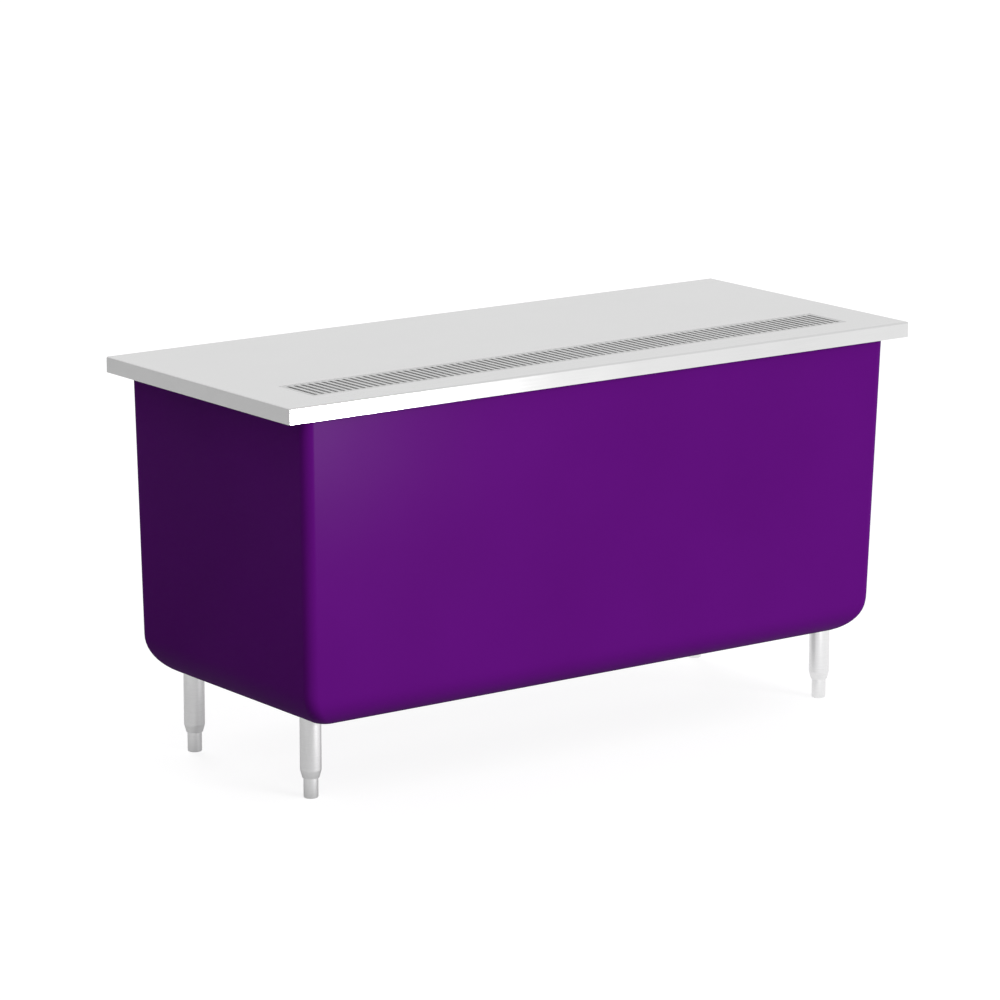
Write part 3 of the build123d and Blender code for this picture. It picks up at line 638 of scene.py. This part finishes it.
def new_piece(name, shape, node, *other_finishes):
    """A smooth object from a closed bmesh, in the place of a node."""
    bmesh.ops.recalc_face_normals(shape, faces=shape.faces)
    mesh = bpy.data.meshes.new(name)
    shape.to_mesh(mesh)
    shape.free()
    for material in (finishes[slot_of[node]], *other_finishes):
        mesh.materials.append(material)
    piece = bpy.data.objects.new(name, mesh)
    bpy.context.scene.collection.objects.link(piece)
    smooth(piece)
    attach(piece, body_of[node])
    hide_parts(node)
    return piece


def turned_piece(name, node, outline, centre, **how):
    """A piece that is one turned solid."""
    shape = bmesh.new()
    spin(shape, outline, centre, **how)
    return new_piece(name, shape, node)


def carve(piece, tool, operation):
    """Cuts a bmesh tool out of a piece, or joins it on."""
    bmesh.ops.recalc_face_normals(tool, faces=tool.faces)
    mesh = bpy.data.meshes.new("tool")
    tool.to_mesh(mesh)
    tool.free()
    helper = bpy.data.objects.new("tool", mesh)
    bpy.context.scene.collection.objects.link(helper)
    change = piece.modifiers.new("change", "BOOLEAN")
    change.operation = operation
    change.solver = "EXACT"
    change.object = helper
    graph = bpy.context.evaluated_depsgraph_get()
    result = bpy.data.meshes.new_from_object(piece.evaluated_get(graph))
    piece.modifiers.clear()
    piece.data = result
    bpy.data.objects.remove(helper)
    smooth(piece)


print("bodies:", sorted(set(body_of.values())))

# %% [markdown]
# ## Tub
#
# The tub is one moulding: walls that lean in so that it leaves its mould, a deep roll into the bottom
# and, on the operator side, a storage opening with a turned-in lip. It could be a box with bevels, but
# the roll is deeper at the ends than at the front, which a bevel can't do. So it is built from level
# sections, each a rounded rectangle whose four sides follow the leaning wall and the roll. The rear
# wall is flat and is filled around the opening, and the lip is an outline swept around it.

# %% Sections of the tub
shell_low, shell_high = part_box("body_shell")
wall = 5 * MM
lean = math.radians(1.6)
corner = 25.5 * MM
roll_of = {"end": 92 * MM, "front": 70 * MM, "rear": 92 * MM}
top_reach = {"end": shell_high.x, "front": -shell_low.y, "rear": shell_high.y}
lean_of = {"end": lean, "front": lean, "rear": 0.0}
corner_steps = 10
long_steps = 28
short_steps = 12


def reach(side, z, inset):
    """How far a wall stands from the origin at a height, on the outside or moved in by inset."""
    slope, square = math.tan(lean_of[side]), math.cos(lean_of[side])
    radius = roll_of[side] - inset
    roll_height = shell_low.z + roll_of[side]
    if z >= roll_height - radius * math.sin(lean_of[side]):
        return top_reach[side] - slope * (shell_high.z - z) - inset / square
    tangent = top_reach[side] - slope * (shell_high.z - roll_height) - inset / square
    return tangent - radius / square + math.sqrt(max(radius**2 - (roll_height - z) ** 2, 0.0))


def rounded_rectangle(x_low, x_high, y_low, y_high, radius):
    """Points anticlockwise from the corner at x_high, y_low."""
    middles = [
        (x_high - radius, y_low + radius, -90, short_steps),
        (x_high - radius, y_high - radius, 0, long_steps),
        (x_low + radius, y_high - radius, 90, short_steps),
        (x_low + radius, y_low + radius, 180, long_steps),
    ]
    points = []
    for i, (x, y, start, steps) in enumerate(middles):
        for step in range(corner_steps + 1):
            turn = math.radians(start + 90 * step / corner_steps)
            points.append(Vector((x + radius * math.cos(turn), y + radius * math.sin(turn))))
        turn = math.radians(start + 90)
        x_next, y_next = middles[(i + 1) % 4][:2]
        target = Vector((x_next + radius * math.cos(turn), y_next + radius * math.sin(turn)))
        last = points[-1]
        points += [last.lerp(target, step / steps) for step in range(1, steps)]
    return points


straight_first = 2 * corner_steps + short_steps + 1
straight = range(straight_first, straight_first + long_steps + 1)  # the flat run of the rear wall
print("points in a section:", len(rounded_rectangle(-1, 1, -1, 1, 0.1)), "of them rear:", len(straight))

# %% [markdown]
# The moulding has an outer and an inner face a few millimetres apart. The Solidify modifier could make
# the second from the first, but the lip has to join the two at the opening, so both are built, by the
# same function with another inset. Above the roll the flat run of the rear wall is left open.

# %% Skins of the tub
wall_rows = 9
roll_rows = 14


def skin_heights(inset):
    """Levels that follow the deepest roll evenly, and then the wall."""
    low = shell_low.z + inset
    radius = max(roll_of.values()) - inset
    turns = [math.radians(90 - 90 * row / roll_rows) for row in range(roll_rows + 1)]
    heights = [low + radius * (1 - math.sin(turn)) for turn in turns]
    rise = shell_high.z - heights[-1]
    return heights + [heights[-1] + rise * (row + 1) / wall_rows for row in range(wall_rows)]


def skin(shape, inset, material):
    """One face of the moulding. Returns its top row and the edges around the flat of the rear wall."""
    rows = []
    for z in skin_heights(inset):
        end, front, rear = [reach(side, z, inset) for side in ("end", "front", "rear")]
        outline = rounded_rectangle(-end, end, -front, rear, corner - inset)
        rows.append([shape.verts.new((point.x, point.y, z)) for point in outline])
    for k, (first, second) in enumerate(zip(rows, rows[1:])):
        bridge(shape, first, second, material, straight[:-1] if k >= roll_rows else ())
    shape.faces.new(rows[0]).material_index = material
    between = rows[roll_rows + 1 : -1]
    rim = [rows[roll_rows][i] for i in straight]
    rim += [row[straight[-1]] for row in between]
    rim += [rows[-1][i] for i in reversed(straight)]
    rim += [row[straight[0]] for row in reversed(between)]
    return rows[-1], rim


tub_shape = bmesh.new()
outer_top, outer_rim = skin(tub_shape, 0.0, 0)
inner_top, inner_rim = skin(tub_shape, wall, 1)
bridge(tub_shape, outer_top, inner_top)
print("skins:", len(tub_shape.faces), "faces, rear wall open:", len(outer_rim), "points around it")

# %% [markdown]
# The storage opening has a lip that turns in, so that no raw edge shows: an outline with soft corners,
# swept around the opening. The flat rear wall between the lip and the skin's open rim could be a grid of
# quads with a hole, but it is flat, so `triangle_fill` may close it in any way.

# %% Opening and lip
opening_width = 1380 * MM
opening_low = 269.2 * MM
opening_high = 830 * MM
opening_corner = 30 * MM
lip_depth = 20 * MM
lip_edge = 3 * MM
lip_round = wall / 2.1  # a little under half the wall, so that the lip's edge is round


def opening_ring(shape, grow, y):
    """The outline of the storage opening, grown all round, at a depth."""
    x = opening_width / 2 + grow
    outline = rounded_rectangle(-x, x, opening_low - grow, opening_high + grow, opening_corner + grow)
    return [shape.verts.new((point.x, y, point.y)) for point in outline]


def loop_edges(shape, ring):
    found = []
    for first, second in zip(ring, ring[1:] + ring[:1]):
        found.append(shape.edges.get((first, second)) or shape.edges.new((first, second)))
    return found


def fill_around(shape, rim, ring, material):
    """Fills the flat wall between its rim and the opening."""
    edges = loop_edges(shape, rim) + loop_edges(shape, ring)
    filled = bmesh.ops.triangle_fill(shape, use_beauty=True, edges=edges)
    for face in filled["geom"]:
        if isinstance(face, bmesh.types.BMFace):
            face.material_index = material


lip = [
    (lip_edge, 0.0, 0.0),
    (0.0, 0.0, lip_edge),
    (0.0, lip_depth, lip_round),
    (wall, lip_depth, lip_round),
    (wall, wall, 0.0),
]
rings = [opening_ring(tub_shape, grow, shell_high.y - depth) for grow, depth in soften(lip)]
for first, second in zip(rings, rings[1:]):
    bridge(tub_shape, first, second)
fill_around(tub_shape, outer_rim, rings[0], 0)
fill_around(tub_shape, inner_rim, rings[-1], 1)
tub_moulding = new_piece("tub_moulding", tub_shape, "body_shell", inside_finish)
print("tub:", len(tub_moulding.data.polygons), "faces")

# %% [markdown]
# The legs pass through the bottom, where it already curves up into the roll. A hole drawn into those
# sections would bend every row around it, so the holes are cut afterwards, with a Boolean. The large
# flat faces should decide the shading where they meet the narrow ones of a curve, and the Weighted
# Normal modifier sees to that.

# %% Cut the leg holes
leg_names = ["front_left", "front_right", "rear_left", "rear_right"]
leg_radius = half_width_of("leg_tube_front_left")
hole_radius = leg_radius + 1 * MM
hole_low = shell_low.z / 2
hole_high = 270 * MM


def leg_axis(name):
    low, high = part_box(f"leg_tube_{name}")
    return Vector(((low.x + high.x) / 2, (low.y + high.y) / 2, 0.0))


drill = bmesh.new()
for name in leg_names:
    spin(drill, [(hole_radius, hole_low), (hole_radius, hole_high)], leg_axis(name), steps=64)
carve(tub_moulding, drill, "DIFFERENCE")
even = tub_moulding.modifiers.new("even_shading", "WEIGHTED_NORMAL")
even.keep_sharp = True
print("tub with holes:", len(tub_moulding.data.polygons), "faces")

# %% [markdown]
# ## Grate
#
# The grate lies flush in the top in two lift-out halves, each a plate punched with a row of slots
# across it. Holes in a plate can be cut with Booleans, but dozens of them leave long thin faces and
# sharp rims. Here a cell is a rectangle with one slot, as two rings with the same number of points, so
# that quads join them. Rays from the slot's round ends give the points on the rectangle.

# %% A cell of the grate
slot_width = 9.1 * MM
arc_steps = 10
tiny = 1e-5  # a ray's share along an axis that counts as none


def cell(left, right, half_width, half_slot):
    """The ring around a slot, and the slot's own with its outward directions, about the slot's middle."""
    radius = slot_width / 2
    centre = half_slot - radius  # of the slot's round end
    turns = [math.pi * step / arc_steps for step in range(arc_steps + 1)]
    edge, slot = [], []
    for side, ahead, behind in ((1, right, left), (-1, left, right)):
        above = half_width - centre
        corners = [math.atan2(above, ahead), math.pi - math.atan2(above, behind)]
        for turn in turns:
            out = Vector((math.cos(turn), math.sin(turn)))
            point = Vector((0.0, centre)) + out * radius
            slot.append((side * point, side * out))
            for corner_turn in corners:  # the ray that passes nearest to a corner goes into it
                if abs(turn - corner_turn) <= math.pi / arc_steps / 2:
                    out = Vector((math.cos(corner_turn), math.sin(corner_turn)))
            room = [(ahead if out.x > 0 else behind) / abs(out.x)] if abs(out.x) > tiny else []
            room += [above / out.y] if out.y > tiny else []
            edge.append(side * (Vector((0.0, centre)) + out * min(room)))
    return edge, slot


print("points in a ring of a cell:", len(cell(1.0, 1.0, 4.0, 3.0)[0]))

# %% [markdown]
# A loop sets the cells side by side, and the first and the last reach out to the plate's rim. Welding
# their shared edges makes one sheet, whose slots and rim roll over to half the plate's thickness. An
# Array modifier could repeat the cells, but not make those two longer. The lower half is the upper one
# mirrored, as the Mirror modifier would do it.

# %% Build the grate
slot_pitch = 18.15 * MM
slot_border = 8.5 * MM  # from the slots to the rim
slot_joint = 5 * MM  # and to the joint of the two halves
rim_round = 0.7 * MM
rim_steps = 3
weld = 0.01 * MM


def border_of(shape):
    """The outer border of the sheet as a ring of vertices, followed from edge to edge."""
    upper = [edge for edge in shape.edges if edge.is_boundary and all(vert.co.z > 0 for vert in edge.verts)]
    ring = list(upper[0].verts)
    while ring[-1] != ring[0]:
        first, second = [edge.other_vert(ring[-1]) for edge in ring[-1].link_edges if edge.is_boundary]
        ring.append(second if first == ring[-2] else first)
    return ring[:-1]


def roll_over(shape, half_length, half_width, levels):
    """Turns the outer border of the sheet down, through (inset, height) levels."""
    near = rim_round + weld  # what lies no further from the rim moves with it
    ring = border_of(shape)
    for inset, height in levels:
        lower = []
        for vert in ring:
            x, y, _ = vert.co
            if half_length - abs(x) <= near:
                x = math.copysign(half_length - inset, x)
            if half_width - abs(y) <= near:
                y = math.copysign(half_width - inset, y)
            lower.append(shape.verts.new((x, y, height)))
        bridge(shape, ring, lower)
        ring = lower


def grate_half(name, side):
    low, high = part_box(f"drip_grate_{name}")
    middle = (low + high) / 2
    half_length, half_width, half_thick = (high - low) / 2
    quarter = [math.pi / 2 * step / rim_steps for step in range(rim_steps + 1)]
    levels = [
        (rim_round * (1 - math.sin(turn)), half_thick - rim_round * (1 - math.cos(turn))) for turn in quarter
    ]
    levels.append((0.0, 0.0))
    first = slot_joint + slot_width / 2
    count = int((2 * half_length - first - slot_width / 2 - slot_border) / slot_pitch) + 1
    spare = 2 * half_length - first - slot_pitch * (count - 1)
    shape = bmesh.new()
    for i in range(count):
        left = first - rim_round if i == 0 else slot_pitch / 2
        right = spare - rim_round if i == count - 1 else slot_pitch / 2
        edge, slot = cell(left, right, half_width - rim_round, half_width - slot_border)
        start = Vector((first + slot_pitch * i - half_length, 0.0))
        rings = [[shape.verts.new((*(start + point), half_thick)) for point in edge]]
        for out, height in levels:
            points = [start + point + way * out for point, way in slot]
            rings.append([shape.verts.new((*point, height)) for point in points])
        for upper, lower in zip(rings, rings[1:]):
            bridge(shape, upper, lower)
    bmesh.ops.remove_doubles(shape, verts=shape.verts, dist=weld)
    roll_over(shape, half_length, half_width, levels[1:])
    copy = bmesh.ops.duplicate(shape, geom=shape.verts[:] + shape.edges[:] + shape.faces[:])["geom"]
    for vert in copy:
        if isinstance(vert, bmesh.types.BMVert):
            vert.co.z = -vert.co.z
    bmesh.ops.remove_doubles(shape, verts=shape.verts, dist=weld)
    for vert in shape.verts:
        vert.co = middle + Vector((side * vert.co.x, vert.co.y, vert.co.z))
    piece = new_piece(f"slotted_grate_{name}", shape, f"drip_grate_{name}")
    print(piece.name, "slots:", count, "faces:", len(piece.data.polygons))


grate_half("left", -1)
grate_half("right", 1)

# %% [markdown]
# ## Legs and feet
#
# Each leg is a stainless tube, drawn in at its lower end around a turned foot that screws in and out.
# Cylinders and cones set on one another would leave hard steps. Both are round, so an outline spun about
# the leg's axis is the shortest way to them. The outline has the tube's wall and a soft shoulder at the
# swage, and the foot gets a rounded sole edge.

# %% Turn the legs and feet
leg_wall = 2 * MM
leg_end_round = 0.4 * MM
swage_top = 64 * MM
swage_round = 10 * MM
mouth_radius = 19 * MM
mouth_round = 0.8 * MM
sole_round = 3 * MM
shoulder = 66 * MM
shoulder_round = 1.5 * MM
stud = 8 * MM
stud_root = 0.5 * MM
stud_end = 1 * MM
pole = 0.3 * MM  # radius of the small flat that closes a turned end

for name in leg_names:
    low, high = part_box(f"leg_tube_{name}")
    tube = [
        (leg_radius, high.z, leg_end_round),
        (leg_radius, swage_top, swage_round),
        (mouth_radius, low.z, mouth_round),
        (mouth_radius - leg_wall, low.z, mouth_round),
        (leg_radius - leg_wall, swage_top, swage_round - leg_wall),
        (leg_radius - leg_wall, high.z, leg_end_round),
    ]
    tube = soften(tube, closed=True)
    turned_piece(f"leg_{name}", f"leg_tube_{name}", tube, leg_axis(name), closed=True)

    low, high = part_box(f"foot_{name}")
    radius = half_width_of(f"foot_{name}")
    foot = [
        (pole, low.z, 0.0),
        (radius, low.z, sole_round),
        (radius, shoulder, shoulder_round),
        (stud, shoulder, stud_root),
        (stud, high.z, stud_end),
        (pole, high.z, 0.0),
    ]
    turned_piece(f"turned_foot_{name}", f"foot_{name}", soften(foot), leg_axis(name))
print("legs and feet:", len(leg_names))

# %% [markdown]
# ## Screws and bolts
#
# The shelf is held by small screws and the tub by bolts, and all of one kind share a node. Their places
# could be written down again, but they are in the node already: welding its mesh and following its edges
# gives one box for each solid.

# %% Find the solids of a node


def solids(node):
    """The lowest and highest corners of each separate solid in a node."""
    shape = bmesh.new()
    shape.from_mesh(frame["nodes"][node].data)
    bmesh.ops.remove_doubles(shape, verts=shape.verts, dist=weld)
    left = set(shape.verts)
    boxes = []
    for start in shape.verts:
        if start not in left:
            continue
        left.remove(start)
        reached = [start]
        for vert in reached:  # the list grows while it is walked
            found = [edge.other_vert(vert) for edge in vert.link_edges]
            found = [other for other in found if other in left]
            left.difference_update(found)
            reached += found
        points = [vert.co.copy() for vert in reached]
        boxes.append([Vector([end(point[k] for point in points) for k in range(3)]) for end in (min, max)])
    shape.free()
    return boxes


print("screws:", len(solids("pan_screws")), "bolts:", len(solids("shell_bolts")))

# %% [markdown]
# Each fastener is turned anew from its box, and a cross or a hexagon socket is cut into its head. A bump
# map could fake the socket, but it would vanish at the edge of the head and in the exported mesh.

# %% Turn the fasteners
shank = 0.5  # shares of the head's radius
tip_round = 0.125
rim_edge = 0.04
socket_size = 0.55
head_dome = 0.8  # shares of the head's height
socket_depth = 0.6
socket_taper = 0.75  # the socket's floor, as a share of its mouth
cross_arm = 0.24  # half an arm's width, as a share of its length


def cross_socket(size):
    """A plus sign with arms that reach from the middle by size."""
    arm = cross_arm * size
    corner = [(size, -arm), (size, arm), (arm, arm)]
    return [(x * c - y * s, x * s + y * c) for c, s in ((1, 0), (0, 1), (-1, 0), (0, -1)) for x, y in corner]


def hexagon_socket(size):
    turns = [math.pi / 3 * i for i in range(6)]
    return [(size * math.cos(turn), size * math.sin(turn)) for turn in turns]


def fasteners(name, node, head_share, head_up, socket):
    """Turns every fastener of a node. head_share is the head's height as a share of its radius."""
    shape, tool = bmesh.new(), bmesh.new()
    for low, high in solids(node):
        radius = (high.x - low.x) / 2
        head = head_share * radius
        length = high.z - low.z
        outline = [
            (pole, 0.0, 0.0),
            (shank * radius, 0.0, tip_round * radius),
            (shank * radius, length - head, 0.0),
            (radius, length - head, rim_edge * radius),
            (radius, length, head_dome * head),
            (pole, length, 0.0),
        ]
        flip = upright if head_up else Matrix.Rotation(math.pi, 3, "X")
        start = Vector(((low.x + high.x) / 2, (low.y + high.y) / 2, low.z if head_up else high.z))
        spin(shape, soften(outline), start, lie=flip, steps=40)
        sunk = [(1.0, length + head), (1.0, length), (socket_taper, length - socket_depth * head)]
        rings = []
        for shrink, height in sunk:
            points = [Vector((x * shrink, y * shrink, height)) for x, y in socket(socket_size * radius)]
            rings.append([tool.verts.new(start + flip @ point) for point in points])
        skin_over(tool, rings)
    piece = new_piece(name, shape, node)
    carve(piece, tool, "DIFFERENCE")
    print(name, len(piece.data.polygons), "faces")


fasteners("cross_head_screws", "pan_screws", head_share=0.5, head_up=True, socket=cross_socket)
fasteners("socket_head_bolts", "shell_bolts", head_share=0.6, head_up=False, socket=hexagon_socket)

# %% [markdown]
# ## Drain fittings
#
# Under the drip trough a pipe leads to a ball valve. The pipe itself is a plain tube and keeps its
# node. The two elbows are moulded: a thick socket at each end and a slimmer bend between. A curve with a
# round bevel would sweep one radius, or taper it, but these sockets have steps, so a ring is swept along
# the pipe's path with a radius that changes on the way.

# %% Mould the elbows
pipe_radius = half_width_of("drain_run_pipe")
mouth_depth = 4 * MM  # of the bore that is modelled
bend_radius = 26 * MM
bend_slim = 1.6 * MM
bend_steps = 10
edge_round = 0.8 * MM
edge_middle = 0.3 * edge_round  # how far the middle of that rounding lies from both sides
ring_points = 48


def elbow_piece(name, node, side):
    """An elbow that is open upwards and to +Y, or with side -1 downwards and to -Y."""
    low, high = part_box(node)
    radius = half_width_of(node)
    cross = Vector(((low.x + high.x) / 2, 0.0, 0.0))
    cross.y, cross.z = (low.y + radius, low.z + radius) if side > 0 else (high.y - radius, high.z - radius)
    reach = high.z - low.z - radius
    socket = reach - bend_radius
    arc = math.pi / 2 * bend_radius
    total = 2 * socket + arc

    def ring(shape, way, out):
        """A ring of a radius at a distance along the path."""
        turn = min(max((way - socket) / bend_radius, 0.0), math.pi / 2)
        before, after = min(way, socket), max(way - socket - arc, 0.0)
        y = bend_radius * (1 - math.cos(turn)) + after
        z = reach - before - bend_radius * math.sin(turn)
        normal = Vector((0.0, math.cos(turn), math.sin(turn)))
        points = []
        for i in range(ring_points):
            spot = 2 * math.pi * i / ring_points
            offset = Vector((math.cos(spot), 0.0, 0.0)) + normal * math.sin(spot)
            point = Vector((0.0, y, z)) + offset * out
            points.append(shape.verts.new(cross + Vector((point.x, side * point.y, side * point.z))))
        return points

    mouth = [(mouth_depth, pipe_radius), (0.0, pipe_radius), (0.0, radius - edge_round)]
    mouth += [(edge_middle, radius - edge_middle), (edge_round, radius)]
    mouth += [(socket - edge_round, radius), (socket, radius - edge_round), (socket, radius - bend_slim)]
    bend = [(socket + arc * step / bend_steps, radius - bend_slim) for step in range(1, bend_steps)]
    shape = bmesh.new()
    stations = mouth + bend + [(total - way, out) for way, out in reversed(mouth)]
    skin_over(shape, [ring(shape, way, out) for way, out in stations])
    piece = new_piece(name, shape, node)
    print(name, len(piece.data.polygons), "faces")


elbow_piece("moulded_elbow_upper", "drain_elbow_upper", 1)
elbow_piece("moulded_elbow_lower", "drain_elbow_lower", -1)

# %% [markdown]
# The valve is cast and turned brass: a hexagon for the wrench at its upper end, a barrel around the
# ball, a neck for the stem and a hexagon plug below. It could be put together from primitives, with a
# seam at each joint. Here the body is one row of rings of changing radius, trimmed to a hexagon where a
# wrench goes, and only the neck, which points another way, is joined on with a Boolean.

# %% Cast the valve
body_low, body_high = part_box("valve_body")
barrel = half_width_of("valve_body")
flat = barrel * math.cos(math.pi / 6)
valve_axis = Vector(((body_low.x + body_high.x) / 2, body_low.y + barrel, 0.0))
joints = {joint["name"]: joint for joint in frame["record"]["behaviour"]["joints"]}
ball_z = joints["drain_turn"]["pos_m"][2]
ball_middle = (valve_axis.x, valve_axis.y, ball_z)
hexagon_low = body_high.z - 20 * MM
socket_floor = body_high.z - 8 * MM
groove_z = hexagon_low - 1 * MM
groove_radius = 0.9 * flat
barrel_top = hexagon_low - 3 * MM
barrel_low = body_low.z + 2 * MM
barrel_steps = 12
swell = 1.6 * MM
foot_radius = 0.95 * flat

rings = [(pipe_radius, socket_floor), (pipe_radius, body_high.z)]
rings += reversed(hexagon(flat, hexagon_low, body_high.z))
rings.append((groove_radius, groove_z))
for step in range(barrel_steps + 1):
    z = barrel_top + (barrel_low - barrel_top) * step / barrel_steps
    bulge = ((z - ball_z) / (barrel_top - ball_z)) ** 2
    rings.append((barrel - swell * min(bulge, 1.0), z))
rings += [(foot_radius, body_low.z), (pole, body_low.z)]
casting = turned_piece("valve_casting", "valve_body", rings, valve_axis)

neck_start = barrel / 2  # inside the barrel
neck_end = body_high.y - valve_axis.y
neck_radius = 10 * MM
neck_round = 0.8 * MM
collar_end = barrel + 2.5 * MM
collar_radius = neck_radius + 2 * MM
collar_round = 1.5 * MM
collar_root = 1 * MM
neck = [
    (pole, neck_start, 0.0),
    (collar_radius, neck_start, 0.0),
    (collar_radius, collar_end, collar_round),
    (neck_radius, collar_end, collar_root),
    (neck_radius, neck_end, neck_round),
    (pole, neck_end, 0.0),
]
tool = bmesh.new()
spin(tool, soften(neck), ball_middle, lie=along_stem)
carve(casting, tool, "UNION")
print("valve casting:", len(casting.data.polygons), "faces")

# %% [markdown]
# The plug, the packing nut and the lever's nut are hexagons with turned faces. A cylinder with six sides
# and a bevel would come close, but a nut's faces are cones, which leave a curved edge on each flat. Each
# takes its height and its width across the flats from its node's box.

# %% Turn the nuts
plug_low, plug_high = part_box("valve_end_plug")
plug_flat = min(plug_high.x - plug_low.x, plug_high.y - plug_low.y) / 2
stem_radius = half_width_of("valve_stem")
thread_radius = 0.8 * barrel
bore = 10 * MM
plug = [(bore, plug_low.z)] + hexagon(plug_flat, plug_low.z, body_low.z)
plug += [(thread_radius, body_low.z), (thread_radius, plug_high.z), (bore, plug_high.z)]
turned_piece("hexagon_plug", "valve_end_plug", plug, valve_axis, closed=True)


def stem_nut(name, node):
    low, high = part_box(node)
    nut_flat = min(high.x - low.x, high.z - low.z) / 2
    start, end = low.y - valve_axis.y, high.y - valve_axis.y
    outline = [(stem_radius, start)] + hexagon(nut_flat, start, end) + [(stem_radius, end)]
    turned_piece(name, node, outline, ball_middle, closed=True, lie=along_stem)


stem_nut("packing_hexagon", "valve_packing_nut")
stem_nut("lever_hexagon", "lever_nut")
print("nuts turned")

# %% [markdown]
# The grip is vinyl that the lever's end was dipped in. It has no edges, so a box with bevels would look
# too crisp. Its section is an oval with square shoulders, a superellipse, which swells a little along the
# lever and closes in a round tip.

# %% Dip the grip
grip_low, grip_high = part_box("lever_grip")
grip_half = (grip_high - grip_low) / 2
grip_axis = (grip_low + grip_high) / 2
lever_half = Vector((7 * MM, 1.5 * MM))
lever_square = 10.0  # how square an oval's shoulders are
grip_square = 4.0
pocket = (3 * MM, 0.4 * MM)  # below the top: the floor and the mouth of the pocket around the lever
lips = ((0.0, 1.4 * MM), (0.4 * MM, 0.7 * MM), (1.6 * MM, 0.3 * MM))  # below the top, and inwards
lip_run = 8 * MM  # from the top to where the swelling starts
lip_thin = 0.3 * MM
grip_steps = 5
tip_steps = 11
tip_reach = 11.3  # a little more, so that the last ring isn't a point


def oval(shape, z, half, squareness):
    """A ring of points on a superellipse about the grip's axis."""
    ring = []
    for i in range(ring_points):
        turn = 2 * math.pi * i / ring_points
        c, s = math.cos(turn), math.sin(turn)
        x = math.copysign(abs(c) ** (2 / squareness), c) * half[0]
        y = math.copysign(abs(s) ** (2 / squareness), s) * half[1]
        ring.append(shape.verts.new((grip_axis.x + x, grip_axis.y + y, z)))
    return ring


tip_top = grip_low.z + grip_half.x
swell_run = grip_high.z - lip_run - tip_top
shares = [step / grip_steps for step in range(grip_steps + 1)]
thinned = [*lips, *((lip_run + swell_run * share, lip_thin * (1 - share)) for share in shares)]
sections = [(grip_high.z - below, (grip_half.x - thin, grip_half.y - thin)) for below, thin in thinned]
for step in range(1, tip_steps + 1):
    drop = math.sin(math.pi / 2 * step / tip_reach)
    half = (grip_half.x * math.sqrt(1 - drop**2), grip_half.y * math.sqrt(1 - drop**8))
    sections.append((tip_top - grip_half.x * drop, half))
shape = bmesh.new()
rings = [oval(shape, grip_high.z - below, lever_half, lever_square) for below in pocket]
rings += [oval(shape, z, half, grip_square) for z, half in sections]
skin_over(shape, rings)
new_piece("dipped_grip", shape, "lever_grip")
print("grip:", [round(side, 4) for side in grip_high - grip_low])
